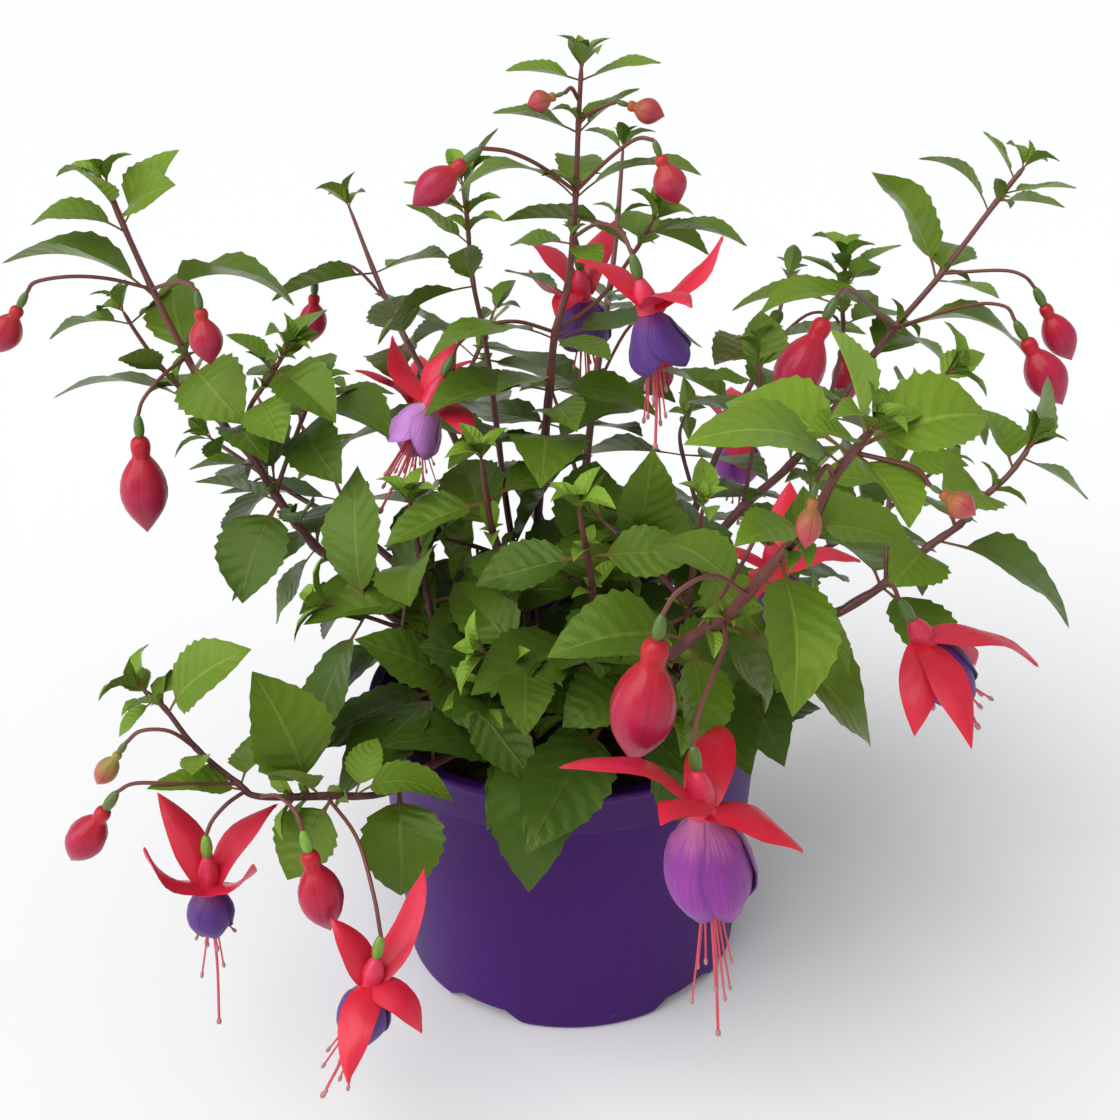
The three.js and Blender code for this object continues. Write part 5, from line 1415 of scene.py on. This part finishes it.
def bud_form():
    """A closed bud of unit length and radius, with four seams pressed in."""
    form = turned("bud form", BUD_ROWS, 24)
    edit(form)
    for quarter in range(4):
        turn = math.radians(90 * quarter)
        side = Vector((math.cos(turn), math.sin(turn), 0))
        for step in range(1, 10):
            low = 0.1 * step
            pick(lambda place: low <= place.z < low + 0.1 and place.xy.normalized().dot(side.xy) > 0.998)
            move_by(*(-side * SEAM_DEPTH * math.sin(math.pi * min(1, low + 0.1))))
    done()
    return form


def grow_bud(row, form, material, draw):
    """A closed bud under its ovary, greener where it is small."""
    name, _, pedicel, tip, radius = row
    start, axis, length = hanging(pedicel, tip)
    first = OVARY_LENGTH * min(1, length / FULL_BUD) + GAP - 0.3
    title = name.replace("bud", "closed_bud")
    bud = placed(form, start + axis * first, axis, length - first, radius, title)
    youth = held((RIPE_BUD_RADIUS - radius) / RIPENING) * (1.0 if name in GREEN_BUDS else 0.5)
    stand_for(dress(bud, material, draw(), youth), name, SHARP["bud"])


def thread(points, runs, radius, knob, end):
    """A thread along rounded points, and the knob at its end from places along its last way."""
    line = spine(points, runs)
    way = (line[-1] - line[-2]).normalized()
    return (line, [radius] * len(line)), ([points[-1] + way * step for step in knob], end)


def grow_calyx(flower, forms, finishes, draw, stamens):
    """The tube, four sepals, stamens and style of a flower."""
    start, axis, length = hanging(flower["pedicel"], flower["cup"])
    span = flower.get("tube", TUBE_LENGTH)
    mouth = OVARY_LENGTH + GAP + span
    broad = BIG_FLOWER_GROWTH if flower["radius"] > BIG_FLOWER else 1
    tube = placed(forms["tube"], start + axis * (OVARY_LENGTH + 0.1), axis, span / TUBE_LENGTH, broad)
    parts = [dress(tube, finishes["sepal"], 0.85, 0)]
    for x, y, z, *more in flower["sepals"]:
        tip = Vector((x, y, z))
        root = start + axis * (mouth - 1.9) + off_axis(tip - start, axis) * SEPAL_ROOT * 0.5
        blade = Blade(root, tip, 0, (more or [SEPAL_ARCH])[0])
        fold = -0.25 if blade.normal.dot(axis) < 0 else 0.2
        piece = bent(
            forms["sepal"], blade, SEPAL_WIDTH * broad, fold * draw(), 0.03 + 0.03 * draw(), 0.0,
            math.tau * draw(),
        )
        parts.append(dress(piece, finishes["sepal"], 0.45 * draw(), 0))
    deep = start + axis * (mouth + (length - mouth) * THREAD_ROOT)
    style = Vector(flower["style"])
    reach = style - deep
    across, over = square_to(reach.normalized())
    threads = []
    for number in range(stamens):
        side = round_about(across, over, math.tau * (number + 0.4 * draw()) / stamens)
        share = flower.get("stamens", STAMEN_REACH) * (1 + 0.85 * draw())
        spread = 2 + 5.5 * draw()
        points = [
            deep + side * 0.9, deep + reach * share * 0.5 + side * (0.8 + 0.35 * spread),
            deep + reach * share + side * spread,
        ]
        threads.append(thread(points, 4, FILAMENT_RADIUS, *ANTHER))
    points = [deep, deep + reach * 0.5 + side * 0.8, style]
    threads.append(thread(points, 5, STYLE_RADIUS, *STIGMA))
    lines, knobs = zip(*threads)
    parts.append(dress(tubes("filaments", lines, 1), finishes["filament"], 0.5, 0.1))
    parts.append(dress(tubes("anthers", knobs, 1), finishes["anther"], 0.5, 1))
    stand_for(join(parts, flower["name"] + "_sepals"), flower["name"] + "_calyx", SHARP["calyx"])


def petal_form():
    """One flat petal of unit size, to be rolled into a cup."""
    add = bpy.ops.mesh.primitive_grid_add
    form = new(add, "petal form", x_subdivisions=12, y_subdivisions=12, size=1, location=(0.5, 0, 0))
    bpy.ops.object.transform_apply()
    return form


def grow_cup(flower, form, material, draw):
    """Four broad petals that overlap round the cup, each one over the edge of the next."""
    start, axis, length = hanging(flower["pedicel"], flower["cup"])
    mouth = OVARY_LENGTH + GAP + flower.get("tube", TUBE_LENGTH)
    flare = flower.get("flare", CUP_FLARE)
    depth = length - mouth + 0.4
    first = start + axis * (mouth - 0.4)
    across, over = square_to(axis)
    petals = []
    for quarter in range(PETALS):
        copy = copy_of(form)
        middle = math.radians(360 / PETALS * (quarter + 0.5) + 8 * draw() - 4)
        long = 0.96 + 0.06 * draw()
        phase = math.tau * draw()
        for corner in copy.data.vertices:
            share, side = corner.co.x, 2 * corner.co.y
            reach = share * long * (1 - 0.2 * abs(side) ** 2.6 * share)
            reach += 0.1 * max(0.0, flare - CUP_FLARE) / 0.32 * share**3 * (1 - 2 * abs(side))
            wide = mixed(0.72, 1, min(1, 2.5 * share)) - 0.2 * max(0, share - 0.55) / 0.45
            turn = middle + math.radians(PETAL_TURN) * side * wide
            swell = mixed(CUP_FOOT_RADIUS, cup_curve(reach, flare) * flower["radius"], min(1, reach * 6))
            lap = PETAL_LAP * side * min(1, 3 * share)
            out = swell * (1 + lap) + PETAL_WAVE * math.sin(5 * share + phase + 4 * side) * share
            corner.co = first + axis * (depth * reach) + round_about(across, over, turn) * out
        petals.append(dress(copy, material, draw(), 0))
    cup = join(petals, flower["name"] + "_petals")
    with_modifier(cup, "SOLIDIFY", thickness=PETAL_WALL, offset=0)
    edit(cup)
    done(outward=True)
    stand_for(cup, flower["name"] + "_cup", SHARP["cup"])


def cup_curve(reach, flare):
    """The share of a cup's radius at a share of its depth, for a cup that closes or flares."""
    part = held((flare - CLOSED_CUP) / OPENING)
    for before, after in zip(CUP_ROWS, CUP_ROWS[1:]):
        if reach <= after[0]:
            t = max(0.0, (reach - before[0]) / (after[0] - before[0]))
            low, high = (mixed(*row[1:], part) for row in (before, after))
            return mixed(low, high, t * t * (3 - 2 * t) * 0.35 + t * 0.65)
    return mixed(*CUP_ROWS[-1][1:], part)


# Pot and soil


def pot_rows(height):
    """The wall of the pot as rows of (radius, height): up the outside, then down the inside."""
    inside = RIM_RADIUS - LIP_WIDTH - 0.8
    ledge = height - RIM_BAND
    c = CORNER
    foot_inner = BODY_FOOT_RADIUS - FOOT_RING_WIDTH
    floor = FLOOR_UNDERSIDE + 2
    return [
        (foot_inner, FLOOR_UNDERSIDE), (foot_inner, c), (foot_inner + c, 0),
        (BODY_FOOT_RADIUS - 1.2 - c, 0), (BODY_FOOT_RADIUS - 1.2 + c * 0.3, 0.25),
        (BODY_FOOT_RADIUS, 1.6), (BODY_FOOT_RADIUS + 0.1, 2.4),
        (mixed(BODY_FOOT_RADIUS, BODY_TOP_RADIUS, 0.5), 45),
        (BODY_TOP_RADIUS - 0.1, ledge - 0.9), (BODY_TOP_RADIUS, ledge - 0.25),
        (BODY_TOP_RADIUS + 0.3, ledge), (RIM_RADIUS - 1.75, ledge), (RIM_RADIUS - 1.5, ledge + 0.35),
        (RIM_RADIUS - 0.72, height - RIM_LINE - 0.25), (RIM_RADIUS - 0.5, height - RIM_LINE),
        (RIM_RADIUS - 0.15, height - 2.5), (RIM_RADIUS, height - 2.2), (RIM_RADIUS, height - 0.9),
        (RIM_RADIUS - 0.25, height - 0.3), (RIM_RADIUS - 0.8, height),
        (inside + 0.5, height), (inside, height - 0.5), (inside - 0.55, ledge),
        (BODY_FOOT_RADIUS - WALL + 0.4, floor + 1), (BODY_FOOT_RADIUS - WALL - 0.6, floor), (0.6, floor),
    ]


def foot_gap(number):
    """A block that cuts one gap in the foot ring, wider at its bottom."""
    turn = Matrix.Rotation(math.radians(FOOT_GAP_MIDDLE + 360 / FOOT_COUNT * number), 4, "Z")
    block = new(bpy.ops.mesh.primitive_cube_add, "foot gap", size=2)
    for corner in block.data.vertices:
        x, y, z = corner.co
        wide = FOOT_GAP_TOP if z > 0 else FOOT_GAP_BOTTOM
        corner.co = turn @ Vector((FOOT_GAP_REACH[x > 0], y * wide / 2, FLOOR_UNDERSIDE if z > 0 else -1))
    return block


def drain(number):
    """A round pin that cuts one drain hole in the floor."""
    turn = math.radians(360 / DRAIN_COUNT * (number + 0.5))
    place = (DRAIN_CIRCLE * math.cos(turn), DRAIN_CIRCLE * math.sin(turn), FLOOR_UNDERSIDE + 1)
    add = bpy.ops.mesh.primitive_cylinder_add
    pin = new(add, "drain hole", vertices=32, radius=DRAIN_RADIUS, depth=DRAIN_DEPTH, location=place)
    bpy.ops.object.transform_apply()
    return pin


def build_pot(sizes):
    pot = turned("purple_pot", pot_rows(sizes.height / MM), sizes.sides)
    cuts = [foot_gap(number) for number in range(FOOT_COUNT)]
    cuts += [drain(number) for number in range(DRAIN_COUNT)]
    for block in cuts:
        with_modifier(pot, "BOOLEAN", operation="DIFFERENCE", solver="EXACT", object=block)
        throw_away(block)
    return pot


def soil_height(x, y):
    """The height of the soil's uneven top."""
    swell = SOIL_SWELL * (math.sin(0.31 * x + 1.7) * math.cos(0.27 * y) + 0.6 * math.sin(0.5 * (x - y)))
    rough = SOIL_ROUGHNESS * noise.fractal(Vector((x, y, 0)) * 0.16, 0.8, 2.2, 5)
    return SOIL_LEVEL + 0.6 + swell + rough


def build_soil(crumbs, draw):
    """The filling of the pot, with an uneven top and loose crumbs of bark and peat."""
    rings = [(SOIL_RADIUS - SOIL_RING * step, SOIL_LEVEL) for step in range(36)]
    soil = turned("potting_soil", [*SOIL_FOOT, *rings, (0.5, SOIL_LEVEL)], SOIL_SIDES)
    for corner in soil.data.vertices:
        x, y, z = corner.co
        if z > SOIL_LEVEL - 1:
            edge = min(1.0, (SOIL_RADIUS - math.hypot(x, y)) / 3 + 0.35)
            corner.co.z = mixed(SOIL_LEVEL, soil_height(x, y), edge)
    pebble = new(bpy.ops.mesh.primitive_ico_sphere_add, "pebble", subdivisions=1, radius=1)
    loose = [soil]
    for _ in range(crumbs):
        turn, reach = math.tau * draw(), CRUMB_REACH * math.sqrt(draw())
        x, y = reach * math.cos(turn), reach * math.sin(turn)
        size = 0.5 + 1.5 * draw() ** 2
        spin = Matrix.Rotation(math.tau * draw(), 4, (draw() - 0.5, draw() - 0.5, draw() - 0.5))
        shape = Matrix.Diagonal((size, size * (0.5 + 0.5 * draw()), size * (0.5 + 0.3 * draw()), 1))
        crumb = copy_of(pebble)
        crumb.data.transform(Matrix.Translation((x, y, soil_height(x, y) + 0.2 * size)) @ spin @ shape)
        loose.append(crumb)
    throw_away(pebble)
    return join(loose, "potting_soil")


# What one piece is made by


def plant_finishes(plant):
    return {
        "leaf": leaf_finish(plant.leaf, plant.young, plant.vein),
        "bark": bark_finish(plant.bark, plant.shoot),
        "ovary": ovary_finish(),
    }


def flower_finishes(bloom):
    """The finishes of the flowers, those of the cups by their material slots."""
    return {
        "sepal": sepal_finish(bloom.scarlet, bloom.pink),
        "petal_violet": petal_finish("violet petal", bloom.violet, VIOLET_FOOT, VIOLET_EDGE),
        "petal_magenta": petal_finish("magenta petal", *MAGENTA),
        "petal_lilac": petal_finish("lilac petal", *LILAC),
        "filament": thread_finish("filament", (0.62, 0.05, 0.09), (0.7, 0.1, 0.14)),
        "anther": thread_finish("anther", (0.2, 0.05, 0.08), (0.45, 0.2, 0.19)),
    }


class FuchsiaPotOperator(Operator):
    """Builds the plastic pot"""

    bl_idname = "fuchsia.pot"
    bl_label = "Pot"

    def execute(self, context):
        sizes = context.scene.fuchsia_pot
        stand_for(dress(build_pot(sizes), plastic_finish(sizes.plastic, sizes.worn)), "pot", SHARP["pot"])
        return {"FINISHED"}


class FuchsiaSoilOperator(Operator):
    """Fills the pot with soil"""

    bl_idname = "fuchsia.soil"
    bl_label = "Soil"

    def execute(self, context):
        soil = build_soil(context.scene.fuchsia_pot.crumbs, drawer(SEED + 1))
        stand_for(dress(soil, soil_finish()), "soil", SHARP["soil"])
        return {"FINISHED"}


class FuchsiaShootsOperator(Operator):
    """Grows the leafy shoots with their flower stalks"""

    bl_idname = "fuchsia.shoots"
    bl_label = "Leafy Shoots"

    def execute(self, context):
        forms = {
            "leaf": blade_form("leaf form", tooth_rows(TEETH), 2, *LEAF_SKINS, foot=True),
            "small": blade_form("small leaf form", SMALL_ROWS, 2, *SMALL_SKINS, foot=True),
            "ovary": turned("ovary form", OVARY_ROWS, 14),
        }
        rows = shoots()
        draw = drawer(SEED + 2)
        finishes = plant_finishes(context.scene.fuchsia_plant)
        for name in sorted({shoot["stem"] for shoot in rows}):
            grow_stem(name, rows, forms, finishes, draw)
        throw_away(*forms.values())
        return {"FINISHED"}


class FuchsiaBudsOperator(Operator):
    """Hangs the closed buds on their stalks"""

    bl_idname = "fuchsia.buds"
    bl_label = "Buds"

    def execute(self, context):
        form = bud_form()
        skin = bud_finish(context.scene.fuchsia_flowers.bud, (0.3, 0.012, 0.04))
        draw = drawer(SEED + 3)
        for row in BUDS:
            grow_bud(row, form, skin, draw)
        throw_away(form)
        return {"FINISHED"}


class FuchsiaFlowersOperator(Operator):
    """Opens the flowers: tube, sepals, stamens, style and petals"""

    bl_idname = "fuchsia.flowers"
    bl_label = "Flowers"

    def execute(self, context):
        forms = {
            "tube": turned("tube form", TUBE_ROWS, 20),
            "sepal": blade_form("sepal form", SEPAL_ROWS, 4, *SEPAL_SKINS),
            "petal": petal_form(),
        }
        draw = drawer(SEED + 4)
        bloom = context.scene.fuchsia_flowers
        finishes = flower_finishes(bloom)
        for flower in FLOWERS:
            grow_calyx(flower, forms, finishes, draw, bloom.stamens)
            grow_cup(flower, forms["petal"], finishes[slot_of(flower["name"] + "_cup")], draw)
        throw_away(*forms.values())
        return {"FINISHED"}


class FuchsiaStageOperator(Operator):
    """Lays the floor and sets the lights, the sky and the camera"""

    bl_idname = "fuchsia.stage"
    bl_label = "Floor, Lights and Camera"

    def execute(self, context):
        scene = context.scene
        lay_floor()
        for light in LIGHTS:
            shine(*light)
        world = bpy.data.worlds.new("soft daylight")
        world.use_nodes = True
        graph = Graph(world.node_tree)
        sky = world.node_tree.nodes["Background"].inputs
        seen = graph.add("LightPath").outputs["Is Camera Ray"]
        level = graph.add("MapRange", {"Value": seen, "To Min": SKY_LIGHT, "To Max": SKY_BACKDROP})
        graph.feed(sky["Color"], (0.96, 0.975, 1.0, 1))
        graph.feed(sky["Strength"], level.outputs["Result"])
        scene.world = world
        scene.view_settings.view_transform = "Standard"
        scene.camera = aim_camera()
        return {"FINISHED"}


def lay_floor():
    floor = new(bpy.ops.mesh.primitive_plane_add, "pale_floor", size=FLOOR_SIZE)
    graph = Finish("pale floor", Roughness=0.8, Specular_IOR_Level=0.2, Base_Color=(0.95, 0.95, 0.95, 1))
    dress(floor, graph.material)


def shine(name, side, strength, spread):
    """A soft light that shines evenly from one side."""
    turn = Vector(side).to_track_quat("Z", "Y").to_euler()
    light = new(bpy.ops.object.light_add, name, type="SUN", location=side, rotation=turn).data
    light.energy = strength
    light.angle = math.radians(spread)


def aim_camera():
    """A camera at the place, turn and focal length fitted to the view of the plant."""
    place = Vector(CAMERA_PLACE) * MM
    camera = new(bpy.ops.object.camera_add, "Camera", location=place)
    camera.data.sensor_width = SENSOR
    camera.data.lens = CAMERA_FOCUS / PIXELS * SENSOR
    camera.data.clip_start = 0.02
    right, over = Vector(CAMERA_RIGHT), Vector(CAMERA_UP)
    turn = Matrix((right, over, right.cross(over))).transposed().to_4x4()
    camera.matrix_world = Matrix.Translation(place) @ turn
    return camera


class FuchsiaPanel(Panel):
    """Sizes, colours and the steps that build the plant"""

    bl_idname = "VIEW3D_PT_fuchsia"
    bl_label = "Potted Fuchsia"
    bl_space_type = "VIEW_3D"
    bl_region_type = "UI"
    bl_category = "Fuchsia"

    def draw(self, context):
        scene = context.scene
        for settings in (scene.fuchsia_pot, scene.fuchsia_plant, scene.fuchsia_flowers):
            box = self.layout.box()
            for name in settings.__annotations__:
                box.prop(settings, name)
        for step in STEPS:
            self.layout.operator(step.bl_idname)


STEPS = (
    FuchsiaPotOperator, FuchsiaSoilOperator, FuchsiaShootsOperator, FuchsiaBudsOperator,
    FuchsiaFlowersOperator, FuchsiaStageOperator,
)
CLASSES = (FuchsiaPot, FuchsiaPlant, FuchsiaFlowers, *STEPS, FuchsiaPanel)


def register():
    for kind in CLASSES:
        bpy.utils.register_class(kind)
    bpy.types.Scene.fuchsia_pot = PointerProperty(type=FuchsiaPot)
    bpy.types.Scene.fuchsia_plant = PointerProperty(type=FuchsiaPlant)
    bpy.types.Scene.fuchsia_flowers = PointerProperty(type=FuchsiaFlowers)


def unregister():
    del bpy.types.Scene.fuchsia_flowers
    del bpy.types.Scene.fuchsia_plant
    del bpy.types.Scene.fuchsia_pot
    for kind in reversed(CLASSES):
        bpy.utils.unregister_class(kind)


def main():
    register()
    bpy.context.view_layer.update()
    bpy.ops.fuchsia.pot()
    bpy.ops.fuchsia.soil()
    bpy.ops.fuchsia.shoots()
    bpy.ops.fuchsia.buds()
    bpy.ops.fuchsia.flowers()
    bpy.ops.fuchsia.stage()


if __name__ == "__main__":
    main()
